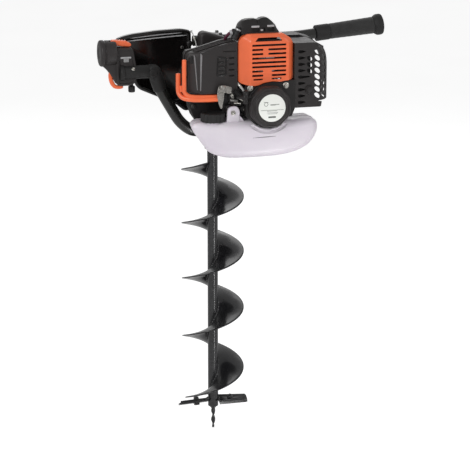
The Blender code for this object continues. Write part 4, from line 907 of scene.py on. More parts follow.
def build_fuel_cap():
    """Screw cap with broad rounded ribs and a domed top."""
    low, high = node_box("fuel_cap")
    middle = (low + high) / 2
    ribs = 15
    samples = ribs * 12
    rings = []
    for scale, z in ((0.95, low.z), (1, low.z + 1), (1, high.z - 4), (0.985, high.z - 2.4),
                     (0.93, high.z - 0.9), (0.84, high.z - 0.2), (0.78, high.z - 0.1), (0.74, high.z - 0.9),
                     (0.3, high.z - 0.7)):
        ring = []
        for i in range(samples):
            a = math.tau * i / samples
            wave = 0.5 + 0.5 * math.cos(a * ribs)
            depth = 1.9 if scale > 0.93 else 0.0
            r = (28 - depth * (1 - wave ** 0.6)) * scale
            ring.append((middle.x + r * math.cos(a), middle.y + r * math.sin(a), z))
        rings.append(ring)
    piece("tank_cap", loft(rings), RUBBER, body="fuel_cap", stands_for="fuel_cap")


# ---------------------------------------------------------------- top cover and ignition

def build_top_cover():
    """Two-humped cap whose roof climbs from a low front, with two windows under bright bars."""
    low, high = node_box("top_cover")
    base = high.z - 34
    profile = [(2, 0), (2.6, 0.3), (3.6, 0.52), (6, 0.7), (11, 0.86), (18, 0.92), (32, 0.94), (39, 0.93),
               (42, 0.88), (46, 0.88), (50, 0.96), (56, 1.0), (63, 1.0), (68, 0.96), (76, 0.77), (85, 0.5),
               (89, 0.24), (92, 0)]
    stations = ((0.2, 17.5, 1.6), (0.9, 20.4, 0.6), (2.5, 22.0, 0), (8, 26, 0), (15, 34, 0), (33, 33.8, 0),
                (50, 27, 0), (58.6, 15, 0.6), (60, 11, 1.8))
    rings = []
    for depth, rise, margin in stations:
        ring = []
        for x, share in profile:
            lean = margin if x < 46 else -margin
            ring.append((low.x + x + lean, low.y + depth, base + share * rise))
        rings.append(ring)
    sill = Vector((low.x, 0, base))
    skirt = slab(sill, (4, high.x - low.x - 2), (low.z - base + 0.5, 3), low.y + 15, 44, 1.2, 3)
    cap = piece("cap_top", joined(loft(rings), skirt), DARK, stands_for="top_cover")
    windows = []
    for start, end, drop in ((26, 43.5, 0), (49, 58, 1), (62.5, 79, 0.5)):
        windows.append(slab(sill, (start, end), (4.4 + drop, 12.6 + drop), low.y - 3, 9, 0.3, 1.4))
    cut_away(cap, joined(*windows))
    soften(cap, 1.0, 3)
    strips = []
    for start, end, z in ((25, 43.5, 17.4), (62, 78.5, 17.8)):
        strips.append(slab(sill, (start, end), (z - 3.2, z + 1.2), low.y - 1.3, 2.4, 0.6, 1.3))
    strips.append(slab(sill, (46.5, 52.5), (6, 10), low.y - 0.9, 2, 0.5, 1.2))
    piece("cap_bars", joined(*strips), TRIM_AND_HIGHLIGHT)
    groove = slab(sill, (42, 46.5), (13, 31), 0, 1.4, 0.4)
    bent(sliced(groove, 2, (base + 19, base + 25)), lambda p: (p.x,
                                                               low.y + 0.4 + p.y + (p.z - base - 13) * 0.62,
                                                               p.z))
    piece("cap_groove", groove, PIANO)


def build_ignition():
    """Slanted plug boot beside the cap, with its lead running back over the air box."""
    low, _ = node_box("top_cover")
    foot = Vector((low.x - 11, low.y + 17, low.z + 4))
    axis = Vector((0.45, 0.0, 0.89)).normalized()
    boot = joined(turned([(7.6, 0), (8.6, 1), (8.8, 9), (7.9, 10), (7.9, 12), (8.8, 13), (8.8, 17),
                          (7.9, 18), (7.9, 20), (8.6, 21), (8.2, 27), (6, 29.5), (0.5, 29.5)], foot, axis,
                         40), turned([(5.4, 0), (5.4, 9), (4.6, 11), (4.2, 11)],
                                     foot + axis * 21 + Vector((-3, 0, 0)), (-1, 0, 0.1), 32))
    piece("plug_boot", boot, RUBBER)
    start = foot + axis * 21 + Vector((-10, 0, 1))
    lead = smooth_path(route(start, [(6, 0, -0.6), (0, 0, 0), (-9, 3, -5), (-16, 14, -18), (-12, 30, -32),
                                     (0, 40, -44)]), 8)
    piece("plug_lead", tube(lead, 3.5, 20), LEAD)
    clip = turned([(3.6, 0), (4.7, 0.3), (4.9, 0.8), (4.9, 5.2), (4.6, 6), (3.6, 6)], lead[11],
                  lead[12] - lead[11], 28)
    band = turned([(8.7, 0), (9.3, 0.3), (9.3, 3.2), (8.7, 3.5)], foot + axis * 22.4, axis, 40)
    piece("lead_clips", joined(clip, band), TRIM_AND_HIGHLIGHT)


# ---------------------------------------------------------------- carburettor side

def coil(start, end, radius, wire, turns):
    """Close-wound spring from start to end."""
    start, end = Vector(start), Vector(end)
    side = (end - start).orthogonal().normalized()
    other = (end - start).normalized().cross(side)
    count = int(turns * 16)
    path = []
    for i in range(count + 1):
        a = math.tau * turns * i / count
        path.append(start.lerp(end, i / count) + (side * math.cos(a) + other * math.sin(a)) * radius)
    return tube(path, wire, 8)


def build_choke():
    """Bright pressed leaf with a turned-out head, on a headed pin."""
    low, _ = node_box("choke_lever")
    leaf = [(-8, 3), (-12, -9), (-12.5, -20), (-10, -34), (-6.5, -45), (-4, -48.5), (-1, -45), (1, -35),
            (3, -27), (4.5, -13), (12, -14), (19, -14.5), (21.5, -7), (20, 0), (10, 3), (1, 5)]
    skin = plate([tuple(p) for p in smooth_path(leaf, 4, closed=True)], depth=2, edge=0.6)
    sliced(skin, 0, steps_between(-12, 20, 2))
    sliced(skin, 2, steps_between(-46, 2, 4))

    def pressed(point):
        crown = 2.0 * math.cos(min(1.5,
                                   abs(point.x + 5) / 8)) if point.z < -12 else 0.7 * math.sin(point.x * 0.4)
        return (CHOKE.x + point.x, low.y + 2.2 - crown + point.y, CHOKE.z + point.z)

    bent(skin, pressed)
    pin = turned([(3, 0), (3, 12), (5.6, 12), (5.6, 14.5), (4.6, 15.4), (0.3, 15.4)],
                 (CHOKE.x, low.y + 13, CHOKE.z), (0, -1, 0), 32)
    piece("choke_leaf", joined(skin, pin), PLATED, body="choke_lever", stands_for="choke_lever")


def build_carburettor():
    """Fine parts round the carburettor: bracket, hose, bellows, adjusters, spring and linkage."""
    low, _ = node_box("carburettor")
    face = low.y - 2
    corner = Vector((low.x, face, low.z))
    bracket_rim = [(-8, 6), (4, -4), (30, -6), (49, 2), (50, 36), (46, 62), (36, 72), (20, 64), (8, 60),
                   (-6, 46)]
    bracket = plate(rounded(offset(low, bracket_rim), 6, 4),
                    [disc(6, (low.x + 12, low.z + 30), 24), disc(3, (low.x + 40, low.z + 58), 20),
                     rectangle(low.x + 24, low.x + 40, low.z + 22, low.z + 25, 1.2)], 3, 0.8)
    placed(bracket, (0, face - 1, 0))
    fins = [slab(low, (20, 46), (z, z + 1.8), face - 6, 7, 0.5, 0.8) for z in (4, 9, 34, 39)]
    knob = turned([(9.5, 0), (9.5, 3), (8.6, 4.4), (5, 5.6), (0.3, 5.9)], (low.x + 42, face - 1, low.z + 16),
                  (0, -1, 0), 36)
    bowl = turned([(9, 0), (10, 1), (10, 13), (8.5, 15), (4, 16), (4, 19), (0.5, 19)],
                  (low.x + 5, face - 4, low.z + 29), (0, 0, -1), 36)
    cup = turned([(7.4, 0), (7.4, 6), (6, 7.4), (5, 7.4), (4.4, 5.5), (0.4, 5.5)],
                 (low.x + 5, face - 8, low.z + 22), (0, -1, 0.1), 32)
    shelf = plate(rounded([(-22, 2), (-2, 4), (12, -2), (26, -3), (28, -9), (8, -10), (-4, -5), (-20, -6)],
                          2.5), depth=9, edge=1)
    placed(shelf, (low.x + 14, face - 8, low.z + 68))
    hook = plate(rounded([(-3, 2), (3, 2), (4, -18), (9, -30), (4, -33), (-3, -20)], 2.2), depth=2.4,
                 edge=0.6)
    placed(hook, (low.x + 8, face - 9, low.z + 60))
    piece("carb_bracket", joined(bracket, knob, bowl, cup, shelf, hook, *fins), DARK)
    start = corner + Vector((18, -7, 62))
    axis = Vector((18, 0, -15))
    ribs = []
    for i in range(7):
        ribs += [(5.4, i * axis.length / 7), (7.4, (i + 0.5) * axis.length / 7)]
    piece("carb_bellows", turned([(0.5, -0.5), *ribs, (5.2, axis.length), (0.5, axis.length + 0.5)], start,
                                 axis, 36), RUBBER)
    rod = [(0.4, 0), (2.1, 0), (2.2, 0.8), (2.2, 13), (3.2, 13.2), (3.2, 16), (0.4, 16)]
    bright = [turned(rod, corner + Vector((28, -12, 44.5)), (0.83, 0, -0.55), 24),
              turned([(0.4, 0), (1.8, 0), (1.8, 16), (0.4, 16)], corner + Vector((16, -12, 33.5)),
                     (1, 0, -0.08), 20), screw_head(3.2, 2.2, corner + Vector((11, -11.4, 51)),
                                                    (0, -1, 0.2)),
              screw_head(2.8, 1.8, corner + Vector((42, -6.5, 16)), (0, -1, 0)),
              screw_head(2.4, 1.6, corner + Vector((24, -5.8, 6)), (0, -1, 0))]
    piece("carb_adjusters", joined(*bright), ZINC)
    hose = smooth_path(route(corner, [(26, 10, 84), (28, -6, 76), (36, -11, 66), (43, -9, 54),
                                      (44, -4, 42)]), 8)
    piece("fuel_hose", tube(hose, 2.7, 16), PALE)
    clamps = [turned([(2.6, 0), (3.7, 0.3), (3.9, 2.6), (2.6, 3)], hose[i], hose[i + 1] - hose[i],
                     24) for i in (10, 26)]
    piece("hose_clamps", joined(*clamps), ZINC)
    piece("carb_spring", coil(*route(corner, [(8, -12, 40), (26, -10, 37.5)]), 2.8, 0.6, 8), STEEL)
    return_line = smooth_path(route(corner, [(6, -4, 24), (10, -11, 12), (22, -10, 6), (36, -8, 9),
                                             (42, -2, 2)]), 8)
    piece("return_hose", tube(return_line, 2.3, 14), RUBBER)


def build_throttle_arm():
    """Small lever on the carburettor's throttle shaft."""
    low, _ = node_box("throttle_arm")
    pivot = joint_place("throttle_arm_turn")
    outline = rounded([(-5, -5), (5, -5), (5.4, 4), (3.2, 15), (-3.2, 15), (-5.4, 4)], 3, 4)
    lever = plate(offset(pivot, outline), [disc(1.4, (pivot.x, pivot.z + 11), 16)], 2, 0.5)
    placed(lever, (0, low.y, 0))
    hub = turned([(3.4, 0), (3.4, 1.4), (1.4, 1.8), (0.3, 1.8)], (pivot.x, low.y + 0.5, pivot.z), (0, -1, 0),
                  24)
    piece("carb_arm", joined(lever, hub), ZINC, body="throttle_arm", stands_for="throttle_arm")


def build_starter_handle():
    """Grip of the pull cord: a waisted bar with finger grooves and the cord's bush."""
    low, high = node_box("starter_handle")
    middle = (low + high) / 2
    rings = []
    for i in range(25):
        share = i / 24
        z = low.z + (high.z - low.z) * share
        end = min(1.0, 4.2 * math.sqrt(max(0.0, share * (1 - share))))
        groove = 0.9 * (0.5 + 0.5 * math.cos(share * math.tau * 3))
        across = (5.6 - groove) * end + 0.3
        ring = [(high.x - 8 + across * math.cos(a) * 1.25, middle.y + across * math.sin(a), z)
                for a in steps_between(0, math.tau, math.tau / 32)[:-1]]
        rings.append(ring)
    neck = turned([(4.6, 0), (4.4, 4), (3.4, 7), (3.0, 20), (2.4, 21.5), (0.4, 21.5)],
                  (high.x - 10, middle.y, middle.z), (-1, 0, 0), 28)
    placed(neck, (2, 0, 0))
    piece("cord_grip", joined(loft(rings), neck), DARK, body="starter_handle", stands_for="starter_handle")
    inside_cover = Vector((high.x + 8, middle.y, middle.z))
    inside_grip = Vector((high.x - 8, middle.y, middle.z))
    strand = tube([inside_cover.lerp(inside_grip, i / 16) for i in range(17)], 1.5, 12)
    cord = piece("pull_cord", strand, RUBBER, body=None)
    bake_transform(cord)


# ---------------------------------------------------------------- hip panel and its cover

def inset(corners, amount):
    """Sharp-cornered outline moved inwards (or outwards, if negative) by an even margin."""
    points = [Vector(p) for p in corners]
    area = sum(a.x * b.y - b.x * a.y for a, b in zip(points, points[1:] + points[:1]))
    sense = 1 if area > 0 else -1
    result = []
    for i, point in enumerate(points):
        before = (point - points[i - 1]).normalized()
        after = (points[(i + 1) % len(points)] - point).normalized()
        along = (before + after).normalized()
        reach = amount / max(0.4, along.dot(after))
        result.append(tuple(point + Vector((-along.y, along.x)) * reach * sense))
    return result


def panel_corners(tail=()):
    """Sharp corners of the panel, with more points for the tail at its lower right if wanted."""
    low, high = node_box("hip_panel")
    corners = [(0, -20), (15, -13), (38, -8), (98, -2), (158, 0), (181, -5), (183, -90), (167, -96),
               (165, -168), *tail, (143, -178), (94, -156), (56, -139), (46, -127), (32, -68)]
    return offset(Vector((low.x, 0, high.z)), corners)


def build_hip_panel():
    """Glossy dish with a fat rim, two raised beads under its top edge coloured light grey as painted
    highlight lines, and ribs behind.
    """
    low, high = node_box("hip_panel")
    edge = panel_corners(((177, -184), (176, -195), (164, -195)))
    opening = panel_corners()
    rim = plate(rounded(edge, 8, 5), [rounded(inset(opening, 9), 6, 5)], 12, 3.2, 4)
    placed(rim, (0, low.y, 0))
    centre = Vector((low.x + 100, high.z - 75))
    bowl = rounded(inset(opening, 4), 9, 5)
    rings = []
    for share, y in ((1, 14), (1, 5), (0.985, 4.6), (0.96, 5.2), (0.9, 6.6), (0.8, 8), (0.62, 9.6),
                     (0.4, 10.7), (0.2, 11.2), (0.05, 11.3)):
        rings.append([(centre.x + (x - centre.x) * share, low.y + y, centre.y + (z - centre.y) * share)
                      for x, z in bowl])
    dish = loft(rings)
    flange = plate(rounded(inset(opening, 1), 8), [rounded(inset(opening, 4.5), 6)], 8, 1)
    placed(flange, (0, high.y - 8, 0))
    ribs = []
    shoulder = Vector((low.x, low.y, high.z))
    for z, start, end in ((-132, 62, 158), (-84, 46, 176), (-36, 24, 176)):
        ribs.append(slab(shoulder, (start, end), (z, z + 3), high.y - 5.5, 5, 0.6, 1))
    for x in (78, 128):
        ribs.append(slab(shoulder, (x, x + 3), (-150, -10), high.y - 5.5, 5, 0.6, 1))
    piece("side_panel", joined(rim, dish, flange, *ribs), PIANO, stands_for="hip_panel")
    # The two beads are raised, and their light grey colour is a painted highlight where the glossy rim
    # catches the light.
    beads = []
    for drop, start, end in ((9.5, 27, 162), (16, 29, 173)):
        run, count = [], 16
        for i in range(count + 1):
            share = i / count
            run.append((low.x + start + (end - start) * share, low.y + 3.2,
                        high.z - drop - 8.5 * (1 - share) ** 1.3))
        thick = [1.4 * min(1, 0.3 + 0.35 * min(i, count - i)) for i in range(count + 1)]
        beads.append(tube(run, thick, 12))
    piece("side_panel_highlight_beads", joined(*beads), TRIM_AND_HIGHLIGHT)
    screws = [screw_head(4.2, 2.6, place, (0, -1, 0))
              for place in route(shoulder, ((161, 7.4, -45), (66, 8.8, -110)))]
    piece("side_panel_screws", joined(*screws), STEEL)
    posts = [turned([(6, 0), (6.6, 1), (6.6, 12), (4, 14)], place, (0, -1, 0), 28)
             for place in route(shoulder, ((176, 3, -34), (174, 3, -80)))]
    piece("panel_posts", joined(*posts), DARK)


def build_back_cover():
    """Rounded cover over the handle clamp, between the panel and the engine."""
    low, _ = node_box("back_cover")
    corners = offset(low, ((0, 0), (0, 39), (10, 45), (29, 40), (55, 32), (63, 25), (66, 0)))
    rings = []
    for margin, y in ((7, 0), (5, 0.4), (3.4, 1.2), (1.6, 2.8), (0.5, 5), (0, 8), (0, 29), (1.2, 30)):
        rings.append([(x, low.y + y, z) for x, z in rounded(inset(corners, margin), 8, 6)])
    piece("clamp_cover", loft(rings), GRAINED, stands_for="back_cover")
    piece("clamp_cover_screw", screw_head(3.6, 2.4, (low.x + 51, low.y + 0.6, low.z + 22), (0, -1, 0.15)),
          STEEL)


def build_cable():
    """Throttle cable that leaves the panel's top corner and dives behind the air box."""
    low, high = node_box("back_cover")
    path = smooth_path(route((low.x, high.y, high.z), [(-3, 46, -12), (-6, 38, -8), (-11, 8, -1.5),
                                                       (-14, -6, -3), (-11, -14, -15), (-7, -16, -29),
                                                       (-5, -18, -56)]), 8)
    piece("throttle_cable", tube(path, 1.2, 14), PALE)
    ferrule = turned([(1.3, 0), (2.7, 0.5), (2.7, 4.5), (2.2, 5.5), (2.2, 7.5), (1.3, 8)], path[31],
                     path[33] - path[31], 24)
    piece("cable_ferrule", ferrule, ZINC)


# ---------------------------------------------------------------- throttle hand

def build_throttle_housing():
    """Drum with a flanged end, a clamp box with a framed face, and a tapered trigger guard."""
    low, high = node_box("throttle_housing")
    drum_r = (high.y - low.y) / 2
    middle_y = (low.y + high.y) / 2
    axis_z = high.z - drum_r - 2
    half = 18
    drum = turned([(0.5, 1.6), (12, 1.6), (12.6, 0.6), (24, 0), (28, 0.9), (drum_r - 0.8, 2.4),
                   (drum_r, 4.4), (drum_r, 9.5), (drum_r - 1.4, 11), (drum_r - 2.2, 13.4),
                   (drum_r - 1, 14.6), (drum_r - 1, 34), (drum_r - 3, 38), (14, 40)],
                  (low.x, middle_y, axis_z), (1, 0, 0), 72)
    box_rim = [(-47, 4), (-41, 0), (-14, 0), (-3, 6), (0, 14), (0, 44), (-6, 80), (-10, 88), (-46, 89),
               (-49, 84)]
    heel = Vector((high.x, 0, low.z))
    corners = offset(heel, box_rim)
    box = plate(rounded(corners, 6, 4), depth=2 * half, edge=3.4, steps=3)
    placed(box, (0, middle_y - half, 0))
    face = plate(rounded(inset(corners, 1.6), 5, 4), [rounded(inset(corners, 6.4), 4, 4)], 4.4, 1.4, 3)
    placed(face, (0, middle_y - half - 2, 0))
    guard_rim = [(low.x + 5, axis_z - 14), (low.x + 40, axis_z - 14), (high.x - 40, low.z + 1),
                 (high.x - 45, low.z + 3), (low.x + 20, low.z + 34), (low.x + 7, low.z + 46)]
    guard = plate(rounded(guard_rim, 5, 4), depth=30, edge=4, steps=3)
    placed(guard, (0, middle_y - 15, 0))
    hand = piece("throttle_case", joined(drum, box, face, guard), GRAINED, stands_for="throttle_housing")
    slit = plate([(low.x - 5, low.z - 20), (high.x - 17, low.z - 20), (high.x - 17, low.z + 9),
                  (high.x - 34, TRIGGER.z + 9), (low.x + 22, TRIGGER.z + 15), (low.x - 5, TRIGGER.z + 2)],
                 depth=12, edge=0.2)
    placed(slit, (0, middle_y - 6, 0))
    crest = Vector((low.x, 0, high.z))
    lever_room = slab(crest, (22, 43), (-22, 6), middle_y - 9.2, 18.4, 0.2)
    cut_away(hand, slit, lever_room)
    plug = slab(heel, (-38, -13), (64, 68), middle_y - half - 1.2, 2, 0.5, 1.2)
    piece("switch_plate", plug, TRIM_AND_HIGHLIGHT)
    heel.y = middle_y - half - 0.6
    ribs = [tube(route(heel, [(x, 0, 49), (x, 0, 60)]), 1.2, 10) for x in (-39, -9)]
    piece("switch_ribs", joined(*ribs), DARK)


def build_stop_switch():
    """Ridged slide on the face of the throttle hand."""
    low, high = node_box("stop_switch")
    width, height = high.x - low.x, high.z - low.z
    slide = slab(low, (0, width), (0, height), low.y, 3.6, 0.9, 1.6, 3)
    ridges = [slab(low, (x, x + 1.2), (1.6, height - 1.6), low.y - 0.9, 1.6, 0.35) for x in (2.4, 5.4, 8.4)]
    piece("stop_slide", joined(slide, *ridges), GREY, body="stop_switch", stands_for="stop_switch")


def build_trigger():
    """Hooked trigger with a rounded finger face."""
    hook = [(-3, 5), (4, 3), (-2, -13), (0, -24), (5, -33), (12, -36), (21, -34), (22, -42), (12, -44),
            (0, -41), (-8, -30), (-11, -13), (-8, -1)]
    outline = [tuple(point) for point in smooth_path(offset(TRIGGER, hook), 5, closed=True)]
    blade = plate(outline, depth=9.6, edge=2.6, steps=4)
    placed(blade, (0, TRIGGER.y - 4.8, 0))
    piece("finger_trigger", blade, ORANGE, body="trigger", stands_for="throttle_trigger")


def build_lockout():
    """Ribbed paddle on top of the throttle hand."""
    lever = [(-43, 6), (-39, 2), (-20, -1), (-1, -3), (4, -2), (4, 4), (-5, 9), (-24, 12), (-41, 14)]
    outline = rounded(offset(LOCKOUT, lever), 3.4, 4)
    paddle = plate(outline, depth=16, edge=2.2, steps=3)
    placed(paddle, (0, LOCKOUT.y - 8, 0))
    ribs = [tube(route(LOCKOUT, [(x, -6.4, z), (x, 6.4, z)]), 1.8, 12)
            for x, z in ((-33, 12), (-27, 11.6), (-21, 11), (-15, 10.2), (-9, 9.4))]
    piece("lockout_paddle", joined(paddle, *ribs), ORANGE, body="lockout", stands_for="lockout_lever")


def build_elbow():
    """Arm clamped in the throttle hand, an angular corner with a round boss, and the tube's socket."""
    low, high = node_box("elbow")
    arm_r = 15.5
    axis_y = low.y + arm_r
    axis_z = high.z - arm_r
    start = Vector((low.x, axis_y, axis_z))
    reach = 74
    arm = turned([(0.5, -1.6), (11, -1.2), (14, 0.6), (arm_r, 3.4), (arm_r, reach), (13, reach + 4)], start,
                 (1, 0, 0), 56)
    collar = turned([(arm_r - 0.5, -2.4), (17.4, -1.8), (18.2, -0.4), (18.2, 5), (17.4, 6.6),
                     (arm_r - 0.5, 7)], start, (1, 0, 0), 56)
    corner_rim = [(reach - 8, -15), (reach - 10, 10), (reach - 4, 16), (reach + 12, 14), (reach + 18, 6),
                  (reach + 17, -22), (reach - 2, -22)]
    corner = plate(rounded(offset(start, corner_rim), 6, 5), depth=31, edge=5, steps=4)
    placed(corner, (0, axis_y - 15.5, 0))
    boss = turned([(9.4, 0), (9.4, 2.4), (8.4, 3.4), (4.6, 3.6), (4.2, 2.6), (0.4, 2.6)],
                  (start.x + reach - 1, axis_y - 15, start.z - 2), (0, -1, 0), 40)
    along = Vector((0.3, 0.02, -0.95)).normalized()
    socket = turned([(14, -8), (16.4, -2), (16.6, 14), (15.9, 28), (15.6, 34), (15, 36), (13.6, 36.5)],
                    (start.x + reach + 8, axis_y, start.z - 10), along, 56)
    piece("corner_clamp", joined(arm, collar, corner, boss, socket), RUBBER, stands_for="elbow")
    screw = bolt_head(5.6, 3.8, 4.2, (start.x + 27, axis_y - 12.5, start.z + 9.5), (0, -0.8, 0.6))
    piece("clamp_screw", screw, ZINC)


def build_knob():
    """Fluted clamp wheel under the throttle hand."""
    low, high = node_box("clamp_knob")
    middle = (low + high) / 2
    rings = []
    for scale, z in ((0.8, low.z), (0.94, low.z + 0.8), (1, low.z + 2.4), (1, low.z + 12), (0.9, low.z + 14),
                     (0.55, low.z + 14.4), (0.5, high.z)):
        ring = []
        for i in range(64):
            a = math.tau * i / 64
            flute = 0.7 * (0.5 + 0.5 * math.cos(a * 8)) if scale > 0.9 else 0
            r = 8 * scale - flute
            ring.append((middle.x + r * math.cos(a), middle.y + r * math.sin(a), z))
        rings.append(ring)
    piece("clamp_wheel", loft(rings), RUBBER, body="clamp_knob", stands_for="clamp_knob")


# ---------------------------------------------------------------- tubes and grip

def build_handle_bar():
    """Right bar under its foam grip, with a rubber collar and a flared end."""
    bar_r, rise = 12.5, math.radians(5.4)
    low, _ = node_box("handle_bar")
    grip_low, grip_high = node_box("grip")
    bend = Vector((197, 0, low.z + bar_r))
    along = Vector((math.cos(rise), 0, math.sin(rise)))
    length = (grip_high.x - grip_low.x) / along.x - 4.3
    start = bend + along * ((grip_low.x + 1.8 - bend.x) / along.x)
    path = smooth_path([Vector((low.x, 0, bend.z)), Vector((bend.x - 60, 0, bend.z)),
                        bend - Vector((18, 0, 0)), bend + along * 18, bend + along * 80,
                        start + along * (length - 7)], 8)
    piece("right_bar", tube(path, bar_r, 48), TUBE_PAINT, stands_for="handle_bar")
    collar = [(12.9, 0.5), (18.2, 0), (19, 0.8), (19, 31), (18.4, 33), (15, 33.4), (12.9, 33.4)]
    piece("grip_collar", turned(collar, start, along, 64, loop=True), RUBBER)
    sleeve = [(12.9, 34), (16.6, 34), (18, 35.4)]
    for i in range(25):
        share = i / 24
        sleeve.append((18.2 + 1.7 * share + 0.16 * math.sin(i * 1.9), 37 + (length - 64) * share))
    sleeve += [(20, length - 25), (18.6, length - 23.4), (12.9, length - 23.4)]
    piece("foam_sleeve", turned(sleeve, start, along, 96, loop=True), FOAM, stands_for="grip")
    flare = [(12.9, length - 22.8), (19, length - 22.8), (20.6, length - 21), (24.4, length - 15),
             (25, length - 12), (25, length - 5), (23.6, length - 1.6), (20, length), (2.2, length),
             (2.2, length - 6), (12.9, length - 6)]
    piece("grip_end", turned(flare, start, along, 64, loop=True), RUBBER)


def build_left_tube():
    """Curved tube from the corner clamp down to the gearbox neck."""
    low, high = node_box("left_tube")
    elbow_low, _ = node_box("elbow")
    top = Vector((low.x + 13.5, elbow_low.y + 15.5, high.z - 2))
    bends = route(top, [(0, 0, 0), (7, 1, -20), (38, 8, -74), (58, 12, -104), (84, 17, -125)])
    path = smooth_path([*bends, (high.x - 5, -20, low.z + 13.5)], 12)
    piece("curved_tube", tube(path, 13.5, 48), TUBE_PAINT, stands_for="left_tube")


# ---------------------------------------------------------------- bit

PITCHES = (158.5, 145, 137, 131)          # rise of the flight in each turn, from the bottom


def flight_height(turns):
    """Height of the flight's middle after a number of turns from the rim's left side."""
    base = node_box("flighting")[0].z - 2.8
    height, left = base, turns
    for pitch in PITCHES[:-1]:
        if left <= 1:
            return height + pitch * left
        height += pitch
        left -= 1
    return height + PITCHES[-1] * left


def build_bit_tube():
    """Tube with its blade ears and the welds along them."""
    low, high = node_box("auger_tube")
    tube_r, bore_r = 12.5, 9.6
    wall = turned([(tube_r - 0.8, low.z), (tube_r, low.z + 0.8), (tube_r, high.z - 0.8),
                   (tube_r - 0.8, high.z), (bore_r, high.z), (bore_r, low.z)], segments=96, loop=True)
    parts = [wall]
    for side in (-1, 1):
        ear = plate(rounded([(11, -12.5), (83, -8.5), (80, 8), (11, 10.5)], 3), [disc(4.3, (42, 0), 28)], 4,
                    0.7)
        moved(ear, Matrix.Rotation(math.pi / 2, 4, "X"))
        placed(ear, (0, 0, 2.6))
        if side < 0:
            moved(ear, Matrix.Rotation(math.pi, 4, "Z"))
        parts.append(moved(ear, blade_seat(side)))
    piece("bit_tube", joined(*parts), PAINT, body="auger_bit", stands_for="auger_tube")
    beads = []
    for side in (-1, 1):
        path = []
        for i in range(60):
            share = i / 59
            y = -12.5 + 25 * share
            x = math.sqrt(max(0.5, (tube_r + 1.2) ** 2 - min(tube_r, abs(y)) ** 2))
            path.append(blade_seat(side) @ Vector((side * x, y, 7.2)))
        beads.append(tube(path, [1.9 + 0.35 * math.sin(i * 1.55) for i in range(60)], 10))
    piece("ear_welds", joined(*beads), PAINT, body="auger_bit")


def blade_seat(side):
    """Where a cutting blade sits: raked about its length and drooping a little at its tip."""
    height = node_box("blade_right")[0].z + 10.3
    return (Matrix.Translation((0, 0, height)) @ Matrix.Rotation(side * math.radians(24), 4, "X")
            @ Matrix.Rotation(side * math.radians(2), 4, "Y"))


def build_flight():
    """Right-hand flight wound on the tube: a thin even strip with a rolled rim."""
    rim_r, root_r, per_turn = 75, 12.8, 110
    first, last = 0.03, 4.1
    count = int(round((last - first) * per_turn))
    section = [(root_r, -2), (20, -2), (34, -1.95), (50, -1.9), (64, -1.85), (71, -1.8), (74, -1.5),
               (74.9, -0.8), (rim_r, 0), (74.9, 0.8), (74, 1.5), (71, 1.8), (64, 1.85), (50, 1.9),
               (34, 1.95), (20, 2), (root_r, 2)]
    rings = []
    for i in range(count + 1):
        turns = first + (last - first) * i / count
        a = math.pi + turns * math.tau
        middle = flight_height(turns)
        rings.append([(r * math.cos(a), r * math.sin(a), middle + h) for r, h in section])
    piece("flight_strip", loft(rings), PAINT, body="auger_bit", stands_for="flighting", crease=50)
    beads = []
    for level in (-2.6, 2.6):
        path, thick = [], []
        steps = 560
        for i in range(steps + 1):
            turns = first + 0.01 + (last - first - 0.02) * i / steps
            a = math.pi + turns * math.tau
            path.append((13.4 * math.cos(a), 13.4 * math.sin(a), flight_height(turns) + level))
            thick.append(1.9 + 0.32 * math.sin(i * 1.3) + 0.2 * math.sin(i * 0.37))
        beads.append(tube(path, thick, 10))
    piece("flight_welds", joined(*beads), PAINT, body="auger_bit", crease=70)


def build_blades():
    """Two raked blades with ground leading edges, each on a headed bolt with a nut above."""
    for side, name in ((-1, "left"), (1, "right")):
        inner, reach = 14, 85.5
        stations = []
        for i in range(13):
            share = i / 12
            x = inner + (reach - inner) * share
            lead = -16 + 3 * share + (1.2 if i == 12 else 0)
            trail = 14 - 4 * share - (1.2 if i == 12 else 0)
            section = [(trail, -2.1), (trail, 2.1), (trail - 0.5, 2.5), (lead + 6.5, 2.5), (lead + 0.3, -1.9),
                       (lead, -2.5), (trail - 0.5, -2.5)]
            stations.append([(side * x, side * y, z) for y, z in section])
        blade = moved(loft(stations), blade_seat(side))
        bar = piece(f"cutting_blade_{name}", blade, PAINT, body="auger_bit", stands_for=f"blade_{name}")
        soften(bar, 0.4)
        seat = blade_seat(side)
        up = (seat.to_3x3() @ Vector((0, 0, 1))).normalized()
        foot = seat @ Vector((side * 42, 0, -2.6))
        top = seat @ Vector((side * 42, 0, 6.9))
        stem = turned([(3.9, 0), (3.9, 15.5), (3.2, 16.2)], foot, up, 32)
        head = bolt_head(12.2, 5.2, 8, foot, -up)
        nut = bolt_head(11.4, 5.6, 7.4, top, up)
        piece(f"blade_bolt_set_{name}", joined(head, nut, stem), PAINT, body="auger_bit",
              stands_for=f"blade_bolt_{name}")


def build_pilot():
    """Twisted flat point with rounded flanks and a blunt tip."""
    low, high = node_box("pilot_point")
    length = node_box("auger_tube")[0].z
    rings, count = [], 90
    for i in range(count + 1):
        t = i / count
        spread = min(1, t / 0.22)
        width, depth = 2.4 + 2.8 * spread ** 0.7, 1.3 + 1.0 * spread
        a = t * 1.25 * math.tau
        ring = []
        for k in range(20):
            b = math.tau * k / 20
            x = width * math.copysign(abs(math.cos(b)) ** 0.7, math.cos(b))
            y = depth * math.copysign(abs(math.sin(b)) ** 0.8, math.sin(b))
            ring.append((x * math.cos(a) - y * math.sin(a), x * math.sin(a) + y * math.cos(a),
                         low.z + t * length))
        rings.append(ring)
    shank = turned([(4.6, length - 7), (5.4, length - 6), (9.2, length - 1), (9.3, high.z)], segments=48)
    piece("pilot_twist", joined(loft(rings), shank), PAINT, body="auger_bit", stands_for="pilot_point")


